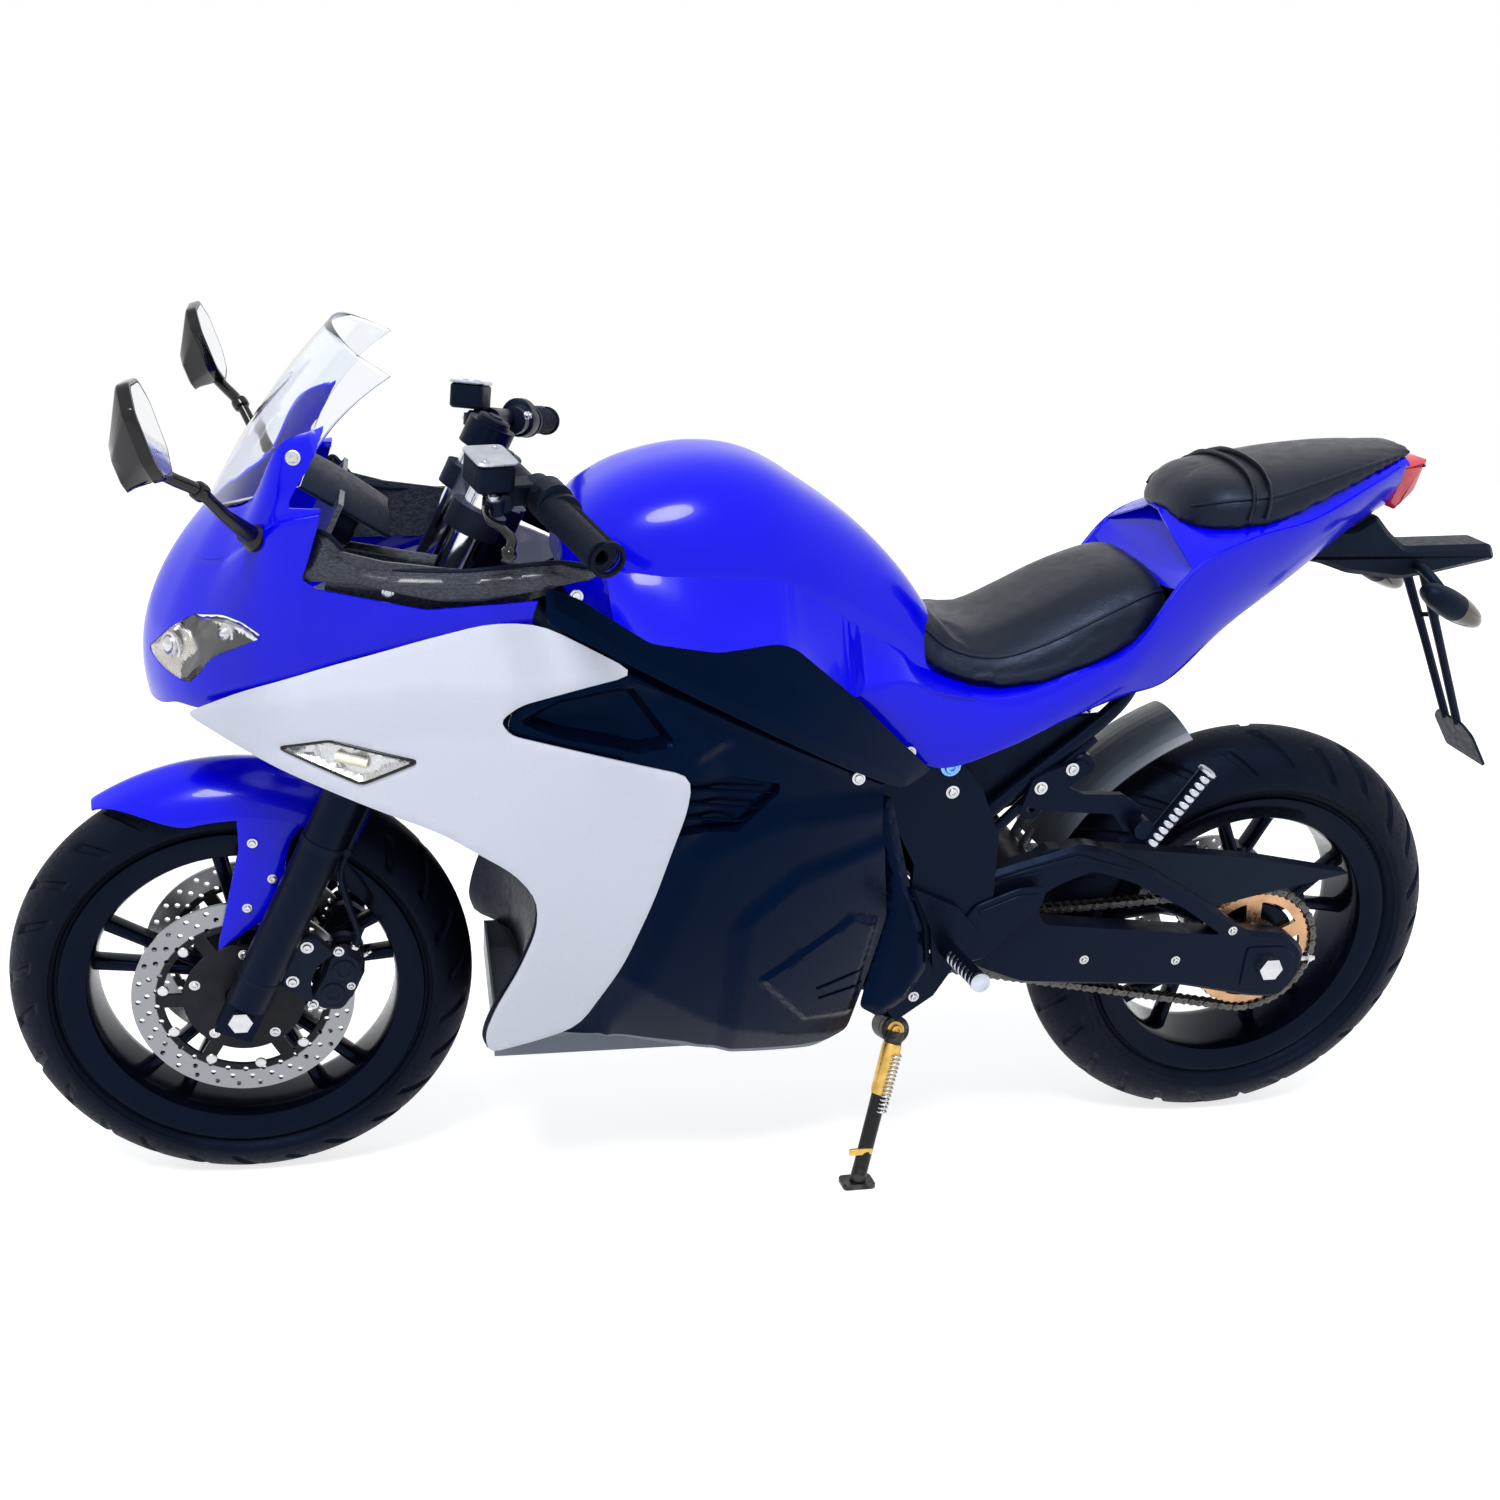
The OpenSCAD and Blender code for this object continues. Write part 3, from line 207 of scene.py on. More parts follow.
def carbon(name):
    g = Graph(name)
    g.constants({"Coat Weight": 0.25, "Coat Roughness": 0.12, "Specular IOR Level": 0.25})
    turn = g.nodes.new("ShaderNodeMapping")
    turn.inputs["Rotation"].default_value = (0.0, 0.0, 0.6)
    g.links.new(g.coord, turn.inputs["Vector"])
    weave = g.new("TexBrick", Scale=160.0, offset=0.5, squash=1.0)
    weave.inputs["Color1"].default_value = (0.022, 0.027, 0.04, 1)
    weave.inputs["Color2"].default_value = (0.07, 0.085, 0.12, 1)
    weave.inputs["Mortar"].default_value = (0.006, 0.006, 0.007, 1)
    weave.inputs["Mortar Size"].default_value = 0.03
    spin = g.nodes.new("ShaderNodeMapping")
    spin.inputs["Rotation"].default_value = (1.5708, 0.0, 0.0)
    g.links.new(turn.outputs["Vector"], spin.inputs["Vector"])
    g.links.new(spin.outputs["Vector"], weave.inputs["Vector"])
    g.to(weave.outputs["Color"], "Base Color")
    g.to(g.remap(weave.outputs["Fac"], 0.34, 0.22, 0.0, 1.0), "Roughness")
    g.to(g.bump(weave.outputs["Fac"], 0.25, 0.0003), "Normal")
    return g.mat


def glass(name, color, ior=1.3):
    g = Graph(name)
    g.constants({"Transmission Weight": 1.0, "IOR": ior})
    g.to(g.ramp(g.noise(5.0, 3.0), [(0.3, shade(color, 0.97)), (0.7, color)]), "Base Color")
    g.to(g.remap(g.noise(120.0, 6.0), 0.02, 0.04), "Roughness")
    g.to(g.bump(g.noise(18.0, 2.0), 0.02, 0.0005), "Normal")
    return g.mat


def ringed(name, pos, edge):
    """Turned steel: fine rings about the wheel axis, with a dark carrier inside the edge radius in metres."""
    color_in, color_out, rough = (0.012, 0.013, 0.018), (0.3, 0.31, 0.33), 0.3
    g = Graph(name)
    g.constants({"Specular IOR Level": 0.15})
    place = g.nodes.new("ShaderNodeMapping")
    place.vector_type = "TEXTURE"
    place.inputs["Location"].default_value = pos
    place.inputs["Rotation"].default_value = (-LEAN, 0.0, 0.0)
    g.links.new(g.coord, place.inputs["Vector"])
    flat = g.new("VectorMath", operation="MULTIPLY")
    flat.inputs[1].default_value = (1.0, 0.0, 1.0)
    g.links.new(place.outputs["Vector"], flat.inputs[0])
    size = g.new("VectorMath", operation="LENGTH")
    g.links.new(flat.outputs["Vector"], size.inputs[0])
    radius = size.outputs["Value"]
    inside = g.remap(radius, 0.0, 1.0, edge - 0.0008, edge + 0.0008)
    streak = g.nodes.new("ShaderNodeTexNoise")
    streak.noise_dimensions = "1D"
    streak.inputs["Scale"].default_value = 2600.0
    streak.inputs["Detail"].default_value = 3.0
    g.links.new(radius, streak.inputs["W"])
    steel = g.ramp(streak.outputs["Fac"], [(0.25, shade(color_out, 0.8)), (0.75, shade(color_out, 1.15))])
    dark = g.ramp(g.noise(40.0, 5.0), [(0.3, shade(color_in, 0.8)), (0.7, shade(color_in, 1.3))])
    mix = g.nodes.new("ShaderNodeMixRGB")
    g.links.new(inside, mix.inputs["Fac"])
    g.links.new(dark, mix.inputs["Color1"])
    g.links.new(steel, mix.inputs["Color2"])
    g.to(mix.outputs["Color"], "Base Color")
    g.to(g.remap(inside, 0.15, 1.0, 0.0, 1.0), "Metallic")
    g.to(g.remap(streak.outputs["Fac"], rough - 0.06, rough + 0.1), "Roughness")
    g.to(g.bump(streak.outputs["Fac"], 0.12, 0.0002), "Normal")
    return g.mat


# Painted reflection: a navy tint on what the blacks reflect, standing in for blue sky seen in them
SKY_REFLECTION_TINT = (0.3, 0.5, 1.0)
BLUE = surface("blue_gloss", (0.001, 0.0, 0.86), 0.22, coat=0.22, spec=0.16, cvar=0.03, rvar=0.03,
               scale=5, grain=1500, bump=0.04, depth=0.0001, ripple=0.012)
WHITE = surface("white_gloss", (0.74, 0.78, 0.9), 0.26, coat=0.6, cvar=0.02, rvar=0.04, scale=4, grain=1500,
                bump=0.04, depth=0.0001, ripple=0.012)
# Painted reflection: the panels' reflections are tinted teal-blue, standing in for sky
PANEL = surface("panel_satin_black", (0.0008, 0.003, 0.014), 0.26, spec=0.15, cvar=0.15, rvar=0.07, scale=7,
                grain=900, bump=0.1, depth=0.00012, ripple=0.02, tint=(0.08, 0.32, 1.0))
GLOSS = surface("gloss_black", (0.004, 0.004, 0.006), 0.12, spec=0.35, cvar=0.15, rvar=0.04, grain=1200,
                bump=0.04)
PLASTIC = surface("moulded_black", (0.004, 0.006, 0.012), 0.46, spec=0.2, tint=SKY_REFLECTION_TINT, cvar=0.15, rvar=0.08,
                  scale=16, grain=800, bump=0.25, depth=0.0003)
PAINT = surface("frame_satin", (0.0025, 0.004, 0.011), 0.36, spec=0.17, tint=SKY_REFLECTION_TINT, cvar=0.15, rvar=0.08,
                grain=700, bump=0.12)
CASTING = surface("cast_alloy_dark", (0.009, 0.011, 0.018), 0.46, metal=0.3, spec=0.26, tint=SKY_REFLECTION_TINT,
                  cvar=0.18, rvar=0.1, scale=20, grain=420, bump=0.3, depth=0.0004)
CASE = surface("battery_case", (0.02, 0.02, 0.023), 0.5, metal=0.4, spec=0.3, cvar=0.1, rvar=0.08,
               scale=18, grain=500, bump=0.25, depth=0.0003)
RIM = surface("rim_gloss_black", (0.002, 0.003, 0.008), 0.2, spec=0.14, tint=SKY_REFLECTION_TINT, cvar=0.2, rvar=0.05,
              scale=22, grain=900, bump=0.06)
RUBBER = surface("tyre_rubber", (0.003, 0.004, 0.009), 0.55, spec=0.14, tint=SKY_REFLECTION_TINT, cvar=0.25, rvar=0.1,
                 scale=26, grain=700, bump=0.35, depth=0.0004)
GRIP = surface("grip_rubber", (0.004, 0.005, 0.01), 0.6, spec=0.2, tint=SKY_REFLECTION_TINT, cvar=0.2, rvar=0.1,
               scale=40, grain=900, bump=0.5, depth=0.0004)
STEEL = surface("bright_steel", (0.6, 0.61, 0.63), 0.26, metal=1.0, cvar=0.1, rvar=0.08, scale=60,
                grain=1400, bump=0.12)
CHROME = surface("fork_chrome", (0.74, 0.75, 0.77), 0.12, metal=1.0, cvar=0.05, rvar=0.04, scale=30,
                 grain=2200, bump=0.06)
ALLOY = surface("peg_alloy", (0.52, 0.55, 0.62), 0.34, metal=1.0, cvar=0.12, rvar=0.1, scale=50,
                grain=900, bump=0.2)
BLUE_BOLT = surface("blue_zinc", (0.2, 0.42, 0.85), 0.28, metal=1.0, cvar=0.15, rvar=0.08, scale=80,
                    grain=1200, bump=0.12)
CHAIN = surface("chain_steel", (0.10, 0.098, 0.095), 0.36, metal=0.9, cvar=0.3, rvar=0.12, scale=60,
                grain=1100, bump=0.2)
GOLD = surface("yellow_zinc", (0.72, 0.46, 0.12), 0.34, metal=0.9, cvar=0.25, rvar=0.1, scale=50,
               grain=900, bump=0.2)
STAND = surface("stand_black", (0.007, 0.007, 0.008), 0.4, spec=0.25, cvar=0.2, rvar=0.1, scale=30,
                grain=600, bump=0.25, wear=0.5, worn=(0.3, 0.28, 0.25))
HUGGER = surface("hugger_grey", (0.17, 0.2, 0.25), 0.36, spec=0.5, cvar=0.1, rvar=0.08, scale=12, grain=900,
                 bump=0.2)
SPRING = surface("shock_red", (0.32, 0.03, 0.03), 0.32, coat=0.4, cvar=0.1, rvar=0.06, scale=30,
                 grain=900, bump=0.1)
BRONZE = surface("sprocket_bronze", (0.62, 0.36, 0.2), 0.32, metal=0.9, cvar=0.15, rvar=0.1, scale=40,
                 grain=1000, bump=0.15)
SCREEN = glass("screen_clear", (0.93, 0.96, 1.0))
LENS = glass("lamp_lens", (0.97, 0.97, 0.97), ior=1.35)
SMOKE = surface("smoked_lens", (0.05, 0.03, 0.012), 0.14, coat=0.8, cvar=0.2, rvar=0.04, scale=30,
                grain=700, bump=0.06)
RED = surface("tail_red", (0.78, 0.02, 0.05), 0.12, coat=1.0, cvar=0.2, rvar=0.03, scale=60, grain=500,
              bump=0.1)
REFLECTOR = surface("lamp_reflector", (0.5, 0.46, 0.42), 0.24, metal=0.9, cvar=0.14, rvar=0.08, scale=50,
                    grain=900, bump=0.1)
MIRROR = surface("mirror_glass", (0.86, 0.88, 0.9), 0.05, metal=1.0, cvar=0.03, rvar=0.02, scale=8,
                 grain=2000, bump=0.01)
AMBER = surface("turn_bulb", (0.75, 0.68, 0.52), 0.2, coat=0.5, cvar=0.12, scale=50, bump=0.05)
LEATHER = leather("seat_leather", (0.003, 0.004, 0.009))
CARBON = carbon("carbon_twill")
FRONT_DISC = ringed("front_disc_steel", tuple(FRONT_POS), 0.109)
REAR_DISC = ringed("rear_disc_steel", tuple(REAR_POS), 0.068)


# Curves and tables
def lerp(a, b, t):
    return a + (b - a) * t


def crow(table, u):
    """Catmull-Rom through the rows of a table."""
    t = np.asarray(table, float)
    i = min(int(math.floor(u)), len(t) - 2)
    f = u - i
    a, b, c, d = t[max(i - 1, 0)], t[i], t[i + 1], t[min(i + 2, len(t) - 1)]
    square, cube = 2 * a - 5 * b + 4 * c - d, 3 * b - a - 3 * c + d
    return 0.5 * (2 * b + (c - a) * f + square * f * f + cube * f ** 3)


def stations(table, n):
    return [crow(table, k / n * (len(table) - 1)) for k in range(n + 1)]


def near_row(rows, x):
    """The row of a table whose first value is nearest to x."""
    return min(rows, key=lambda r: abs(r[0] - x))


def smooth_path(pts, n):
    return [tuple(p) for p in stations(pts, n)]


def fillet(pts, r, n=4):
    """An outline with its corners rounded."""
    out = []
    m = len(pts)
    for i in range(m):
        a, b, c = (Vector(pts[k][:2]) for k in ((i - 1) % m, i, (i + 1) % m))
        d0, d1 = a - b, c - b
        s = min(r, d0.length * 0.45, d1.length * 0.45)
        p, q = b + d0.normalized() * s, b + d1.normalized() * s
        for k in range(n + 1):
            t = k / n
            out.append(tuple(p * (1 - t) ** 2 + b * 2 * t * (1 - t) + q * t * t))
    return out


def resample(pts, step, closed=True):
    """An outline with points no further apart than step."""
    out = []
    m = len(pts)
    for i in range(m if closed else m - 1):
        a, b = Vector(pts[i]), Vector(pts[(i + 1) % m])
        n = max(1, int((b - a).length / step))
        out += [tuple(a.lerp(b, k / n)) for k in range(n)]
    if not closed:
        out.append(tuple(pts[-1]))
    return out


def inside(p, poly):
    x, y = p
    hit = False
    m = len(poly)
    for i in range(m):
        x0, y0 = poly[i][:2]
        x1, y1 = poly[(i + 1) % m][:2]
        if (y0 > y) != (y1 > y) and x < (x1 - x0) * (y - y0) / (y1 - y0) + x0:
            hit = not hit
    return hit


def to_line(p, pts):
    """Distance from a point to an open polyline."""
    best = 1e9
    px, py = p
    for (ax, ay), (bx, by) in zip(pts, pts[1:]):
        dx, dy = bx - ax, by - ay
        t = max(0.0, min(1.0, ((px - ax) * dx + (py - ay) * dy) / (dx * dx + dy * dy)))
        best = min(best, math.hypot(px - ax - t * dx, py - ay - t * dy))
    return best


def to_edge(p, poly):
    return to_line(p, list(poly) + [poly[0]])


def step01(x, a, b):
    t = max(0.0, min(1.0, (x - a) / (b - a)))
    return t * t * (3 - 2 * t)


# Mesh forms, in the bike frame
class Form:
    def __init__(self):
        self.v = []
        self.f = []
        self.slots = []

    def add(self, verts, faces):
        o = len(self.v)
        self.v += [tuple(p) for p in verts]
        self.f += [tuple(o + i for i in f) for f in faces]
        self.slots += [0] * len(faces)
        return self

    def rows(self, rings, closed=True, caps=True):
        n = len(rings[0])
        verts = [p for ring in rings for p in ring]
        faces = []
        for j in range(len(rings) - 1):
            for i in range(n if closed else n - 1):
                k = (i + 1) % n
                faces.append((j * n + i, j * n + k, (j + 1) * n + k, (j + 1) * n + i))
        if closed and caps:
            faces.append(tuple(reversed(range(n))))
            faces.append(tuple(range((len(rings) - 1) * n, len(rings) * n)))
        return self.add(verts, faces)

    def tube(self, path, r, n=14, caps=True, oval=1.0):
        pts = [Vector(p) for p in path]
        radii = list(r) if hasattr(r, "__len__") else [r] * len(pts)
        ref = None
        rings = []
        for i, p in enumerate(pts):
            t = (pts[min(i + 1, len(pts) - 1)] - pts[max(i - 1, 0)]).normalized()
            if ref is None:
                ref = t.orthogonal() if abs(t.z) > 0.9 else t.cross(Vector((0, 0, 1)))
            ref = (ref - t * ref.dot(t)).normalized()
            bin_ = t.cross(ref)
            rings.append([tuple(p + (ref * math.cos(a) + bin_ * math.sin(a) * oval) * radii[i])
                          for a in (2 * math.pi * k / n for k in range(n))])
        return self.rows(rings, True, caps)

    def lathe(self, profile, centre, axis=(0, 1, 0), n=64, closed=False):
        c, ax = Vector(centre), Vector(axis).normalized()
        u = ax.orthogonal().normalized() if abs(ax.y) < 0.99 else Vector((1, 0, 0))
        w = ax.cross(u)
        prof = list(profile) + ([profile[0]] if closed else [])
        rings = [[tuple(c + ax * h + (u * math.cos(a) + w * math.sin(a)) * r)
                  for a in (2 * math.pi * k / n for k in range(n))] for r, h in prof]
        return self.rows(rings, True, not closed)

    def plate(self, outline, y0, y1, edge=1.5, at=None):
        pts = [Vector(p) for p in outline]
        m = len(pts)
        area = sum(pts[i].x * pts[(i + 1) % m].y - pts[(i + 1) % m].x * pts[i].y for i in range(m))
        if area < 0:
            pts.reverse()
        inner = []
        for i in range(m):
            e0 = (pts[i] - pts[i - 1]).normalized()
            e1 = (pts[(i + 1) % m] - pts[i]).normalized()
            nrm = Vector((-e0.y - e1.y, e0.x + e1.x))
            nrm = nrm.normalized() if nrm.length > 1e-6 else Vector((-e0.y, e0.x))
            inner.append(pts[i] + nrm * edge)
        place = at or (lambda x, y, z: (x, y, z))
        rings = [[place(p.x, y, p.y) for p in loop]
                 for loop, y in ((inner, y0), (pts, y0 + edge), (pts, y1 - edge), (inner, y1))]
        return self.rows(rings)

    def bolt(self, p, d, r=6.0, h=4.0):
        """A bolt head with a socket, on a washer."""
        washer = [(r * 1.5, -1.0), (r * 1.5, 0.6), (r * 1.32, 0.9)]
        head = [(r, 0.9), (r, h * 0.75), (r * 0.86, h), (r * 0.52, h), (r * 0.5, h * 0.45),
                (0.02, h * 0.42)]
        return self.lathe(washer + head, p, Vector(d).normalized(), 18)

    def mesh(self, name):
        """A mesh of the form in the row frame."""
        co = np.array(self.v, float) @ BIKE_NP[:3, :3].T + BIKE_NP[:3, 3]
        me = bpy.data.meshes.new(name)
        me.from_pydata(co.tolist(), [], self.f)
        return me

    def twin(self):
        """Adds the mirror image on the other side of the bike."""
        n = len(self.v)
        self.v += [(x, -y, z) for x, y, z in self.v]
        self.f += [tuple(n + i for i in reversed(f)) for f in self.f]
        self.slots += list(self.slots)
        return self

    def make(self, name, mats, body="chassis", slot="plastic_black", over=None, smooth=32, solid=0.0,
             bevel=0.0, out=None, fix=True):
        """A finished piece; out is a point that the faces look away from."""
        mats = mats if isinstance(mats, (list, tuple)) else [mats]
        me = self.mesh(name)
        for m in mats:
            me.materials.append(m)
        me.polygons.foreach_set("material_index", self.slots)
        bm = bmesh.new()
        bm.from_mesh(me)
        if fix:
            bmesh.ops.recalc_face_normals(bm, faces=bm.faces)
        if out is not None:
            core = row(out)
            if sum((f.calc_center_median() - core).dot(f.normal) * f.calc_area() for f in bm.faces) < 0:
                bmesh.ops.reverse_faces(bm, faces=bm.faces)
        bm.to_mesh(me)
        bm.free()
        obj = bpy.data.objects.new(name, me)
        SCENE.collection.objects.link(obj)
        if solid:
            mod = obj.modifiers.new("thick", "SOLIDIFY")
            mod.thickness = solid / 1000
            mod.offset = -1
        if bevel:
            mod = obj.modifiers.new("edge", "BEVEL")
            mod.width = bevel / 1000
            mod.segments = 2
            mod.limit_method = "ANGLE"
            mod.angle_limit = math.radians(50)
            mod.harden_normals = False
        bake(obj)
        soften(obj, smooth)
        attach(obj, body)
        if over:
            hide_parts(over)
        return obj


def bake(obj):
    """Applies the modifiers."""
    if not obj.modifiers:
        return
    deps = bpy.context.evaluated_depsgraph_get()
    me = bpy.data.meshes.new_from_object(obj.evaluated_get(deps), depsgraph=deps)
    obj.modifiers.clear()
    old = obj.data
    obj.data = me
    bpy.data.meshes.remove(old)


def soften(obj, angle):
    """Smooth shading, with edges over an angle in degrees kept sharp."""
    me = obj.data
    me.polygons.foreach_set("use_smooth", [True] * len(me.polygons))
    me.set_sharp_from_angle(angle=math.radians(angle))


def cut(obj, form, smooth):
    """Takes a form out of a finished piece."""
    me = form.mesh("cutter")
    bm = bmesh.new()
    bm.from_mesh(me)
    bmesh.ops.recalc_face_normals(bm, faces=bm.faces)
    bm.to_mesh(me)
    bm.free()
    tool = bpy.data.objects.new("cutter", me)
    SCENE.collection.objects.link(tool)
    mod = obj.modifiers.new("cut", "BOOLEAN")
    mod.operation = "DIFFERENCE"
    mod.solver = "EXACT"
    mod.object = tool
    bake(obj)
    bpy.data.objects.remove(tool)
    bpy.data.meshes.remove(me)
    soften(obj, smooth)


def sheet(outline, lift, step, holes=(), lines=()):
    """Triangles over an outline in x and z, lifted to y by a function, with holes and crease lines kept."""
    loops = [resample(outline, step * 0.7)] + [resample(h, step * 0.7) for h in holes]
    verts, edges = [], []
    for loop in loops:
        o = len(verts)
        verts += [Vector(p) for p in loop]
        edges += [(o + i, o + (i + 1) % len(loop)) for i in range(len(loop))]
    for line in lines:
        pts = resample(line, step * 0.7, False)
        o = len(verts)
        verts += [Vector(p) for p in pts]
        edges += [(o + i, o + i + 1) for i in range(len(pts) - 1)]
    xs = [p[0] for p in loops[0]]
    zs = [p[1] for p in loops[0]]
    near = np.array([(v.x, v.y) for v in verts])
    j = 0
    z = min(zs)
    while z <= max(zs):
        x = min(xs) + (step / 2 if j % 2 else 0)
        while x <= max(xs):
            gap = np.min((near[:, 0] - x) ** 2 + (near[:, 1] - z) ** 2)
            if inside((x, z), loops[0]) and gap > (step * 0.5) ** 2:
                verts.append(Vector((x, z)))
            x += step
        z += step * 0.87
        j += 1
    vs, _, tris, *_ = delaunay_2d_cdt(verts, edges, [], 0, 1e-4)
    keep = []
    for t in tris:
        c = ((vs[t[0]].x + vs[t[1]].x + vs[t[2]].x) / 3, (vs[t[0]].y + vs[t[1]].y + vs[t[2]].y) / 3)
        if inside(c, loops[0]) and not any(inside(c, h) for h in loops[1:]):
            keep.append(tuple(t))
    form = Form()
    used = sorted({i for t in keep for i in t})
    index = {i: k for k, i in enumerate(used)}
    pts = [(vs[i].x, lift(vs[i].x, vs[i].y), vs[i].y) for i in used]
    faces = [tuple(index[i] for i in t) for t in keep]
    ordered = []
    for f in faces:
        a, b, c = (Vector(pts[i]) for i in f)
        ordered.append(f if (b - a).cross(c - a).y > 0 else (f[0], f[2], f[1]))
    return form.add(pts, ordered)


# The curved flank that the side panels share: half width at x, then at x and z
def wing_x(x):
    return 250 - 120 * max(0, (x - 220) / 530) ** 3 - 105 * max(0, (220 - x) / 400) ** 2


def wing(x, z):
    return wing_x(x) - 55 * max(0, (700 - z) / 420) ** 2 - 30 * max(0, (z - 700) / 180) ** 2


def superellipse(r, n):
    """The rounded section of a tank or seat row: x, half width, low z, top z, power."""
    x, w, low, top, p = r
    out = []
    for k in range(n + 1):
        a = math.pi * k / n
        c, s = math.cos(a), math.sin(a)
        out.append((x, w * math.copysign(abs(c) ** (2 / p), c), low + (top - low) * abs(s) ** (2 / p)))
    return out


# Stage and light
def make_stage():
    me = bpy.data.meshes.new("studio_floor")
    half = 30
    corners = [(x * half, y * half, 0) for x, y in ((-1, -1), (1, -1), (1, 1), (-1, 1))]
    me.from_pydata(corners, [], [(0, 1, 2, 3)])
    floor = bpy.data.objects.new("studio_floor", me)
    SCENE.collection.objects.link(floor)
    mat = bpy.data.materials.new("studio_white")
    mat.use_nodes = True
    nt = mat.node_tree
    nt.nodes.clear()
    out = nt.nodes.new("ShaderNodeOutputMaterial")
    seen = see_through(nt)
    plain = nt.nodes.new("ShaderNodeBsdfDiffuse")
    plain.inputs["Color"].default_value = (0.6, 0.6, 0.61, 1)
    glow = nt.nodes.new("ShaderNodeEmission")
    glow.inputs["Color"].default_value = (1, 1, 1, 1)
    glow.inputs["Strength"].default_value = 0.74
    both = nt.nodes.new("ShaderNodeAddShader")
    mix = nt.nodes.new("ShaderNodeMixShader")
    nt.links.new(plain.outputs[0], both.inputs[0])
    nt.links.new(glow.outputs[0], both.inputs[1])
    nt.links.new(seen, mix.inputs["Fac"])
    nt.links.new(plain.outputs[0], mix.inputs[1])
    nt.links.new(both.outputs[0], mix.inputs[2])
    nt.links.new(mix.outputs[0], out.inputs["Surface"])
    me.materials.append(mat)
    world = bpy.data.worlds.new("studio")
    SCENE.world = world
    world.use_nodes = True
    wt = world.node_tree
    wt.nodes.clear()
    wout = wt.nodes.new("ShaderNodeOutputWorld")
    white = wt.nodes.new("ShaderNodeBackground")
    white.inputs["Color"].default_value = (1, 1, 1, 1)
    white.inputs["Strength"].default_value = 1.0
    soft = wt.nodes.new("ShaderNodeBackground")
    soft.inputs["Color"].default_value = (0.93, 0.96, 1.0, 1)
    soft.inputs["Strength"].default_value = 0.55
    wmix = wt.nodes.new("ShaderNodeMixShader")
    wt.links.new(see_through(wt), wmix.inputs["Fac"])
    wt.links.new(soft.outputs[0], wmix.inputs[1])
    wt.links.new(white.outputs[0], wmix.inputs[2])
    wt.links.new(wmix.outputs[0], wout.inputs["Surface"])
    sun = bpy.data.lights.new("key_sun", "SUN")
    sun.energy = 2.0
    sun.angle = math.radians(18)
    lamp = bpy.data.objects.new("key_sun", sun)
    lamp.rotation_euler = Vector((-0.25, -0.75, -1.1)).to_track_quat("-Z", "Y").to_euler()
    SCENE.collection.objects.link(lamp)
    SCENE.view_settings.view_transform = "Standard"


def see_through(tree):
    """One for rays that show the stage: seen straight, in a gloss or through glass."""
    path = tree.nodes.new("ShaderNodeLightPath")
    out = path.outputs["Is Camera Ray"]
    for ray in ("Is Glossy Ray", "Is Transmission Ray"):
        node = tree.nodes.new("ShaderNodeMath")
        node.operation = "MAXIMUM"
        tree.links.new(out, node.inputs[0])
        tree.links.new(path.outputs[ray], node.inputs[1])
        out = node.outputs[0]
    return out


make_stage()


# Wheels: radius of the rims' bead, of the tyres, and how far the tread reaches round the crown
BEAD = 216
FRONT_R, REAR_R = 292, 314
TREAD = math.radians(84)
GROOVE_DEPTH = 4.2


def make_tyre(name, cx, cz, r, w, rim_w, body, over, count, sweep):
    wall = 7
    crown = min(w / 2, r - BEAD - wall)
    cols = []
    span = 2 * math.pi / count
    groove = [0.0, 0.06, 0.2, 0.26]
    for k in range(count):
        for f in groove + [0.26 + (1 - 0.26) * q / 6 for q in range(1, 6)]:
            cols.append(((k + f) * span, k, f))
    prof = []
    for k in range(57):
        a = math.radians(-84 + 168 * k / 56)
        prof.append((r - crown + crown * math.cos(a), crown * math.sin(a), crown * a))
    reach = crown * TREAD

    def side(s):
        r0, y0 = r - crown + crown * math.cos(TREAD), crown * math.sin(TREAD)
        r1, y1 = BEAD + 16, rim_w / 2 + 1
        out = []
        for k in range(1, 9):
            t = k / 8
            bulge = 3.0 * math.sin(math.pi * t) + (1.2 if k in (3, 6) else 0)
            out.append((lerp(r0, r1, t), s * (lerp(y0, y1, t) + bulge), None))
        out += [(BEAD + 12.4, s * (rim_w / 2 + 0.5), None), (BEAD + 0.6, s * (rim_w / 2 - 1), None)]
        return out

    loop = list(reversed(side(-1))) + prof + side(1)
    rings = []
    for th, k, f in cols:
        ring = []
        for pr, py, s in loop:
            ang = th + sweep
            if s is not None:
                u = abs(s) / reach
                ang = th + sweep * u ** 1.2
                lo, hi = (0.1, 0.78) if k % 2 == 0 else (0.38, 0.88)
                if groove[1] <= f <= groove[2] and lo < u < hi:
                    deep = GROOVE_DEPTH * min(1, (u - lo) / 0.05, (hi - u) / 0.05)
                    pr, py = pr - deep * math.cos(s / crown), py - deep * math.sin(s / crown)
            ring.append((cx + pr * math.cos(ang), py, cz + pr * math.sin(ang)))
        rings.append(ring)
    form = Form()
    n, m = len(rings[0]), len(rings)
    verts = [p for ring in rings for p in ring]
    faces = [(j * n + i, j * n + (i + 1) % n, ((j + 1) % m) * n + (i + 1) % n, ((j + 1) % m) * n + i)
             for j in range(m) for i in range(n)]
    form.add(verts, faces)
    return form.make(name, RUBBER, body, "tyre_black", over, smooth=38)


make_tyre("front_tyre_grooved", FX, FZ, FRONT_R, 110, 82, "front_wheel", "front_tyre", 26, 0.22)
make_tyre("rear_tyre_grooved", RX, RZ, REAR_R, 140, 108, "rear_wheel", "rear_tyre", 26, 0.24)


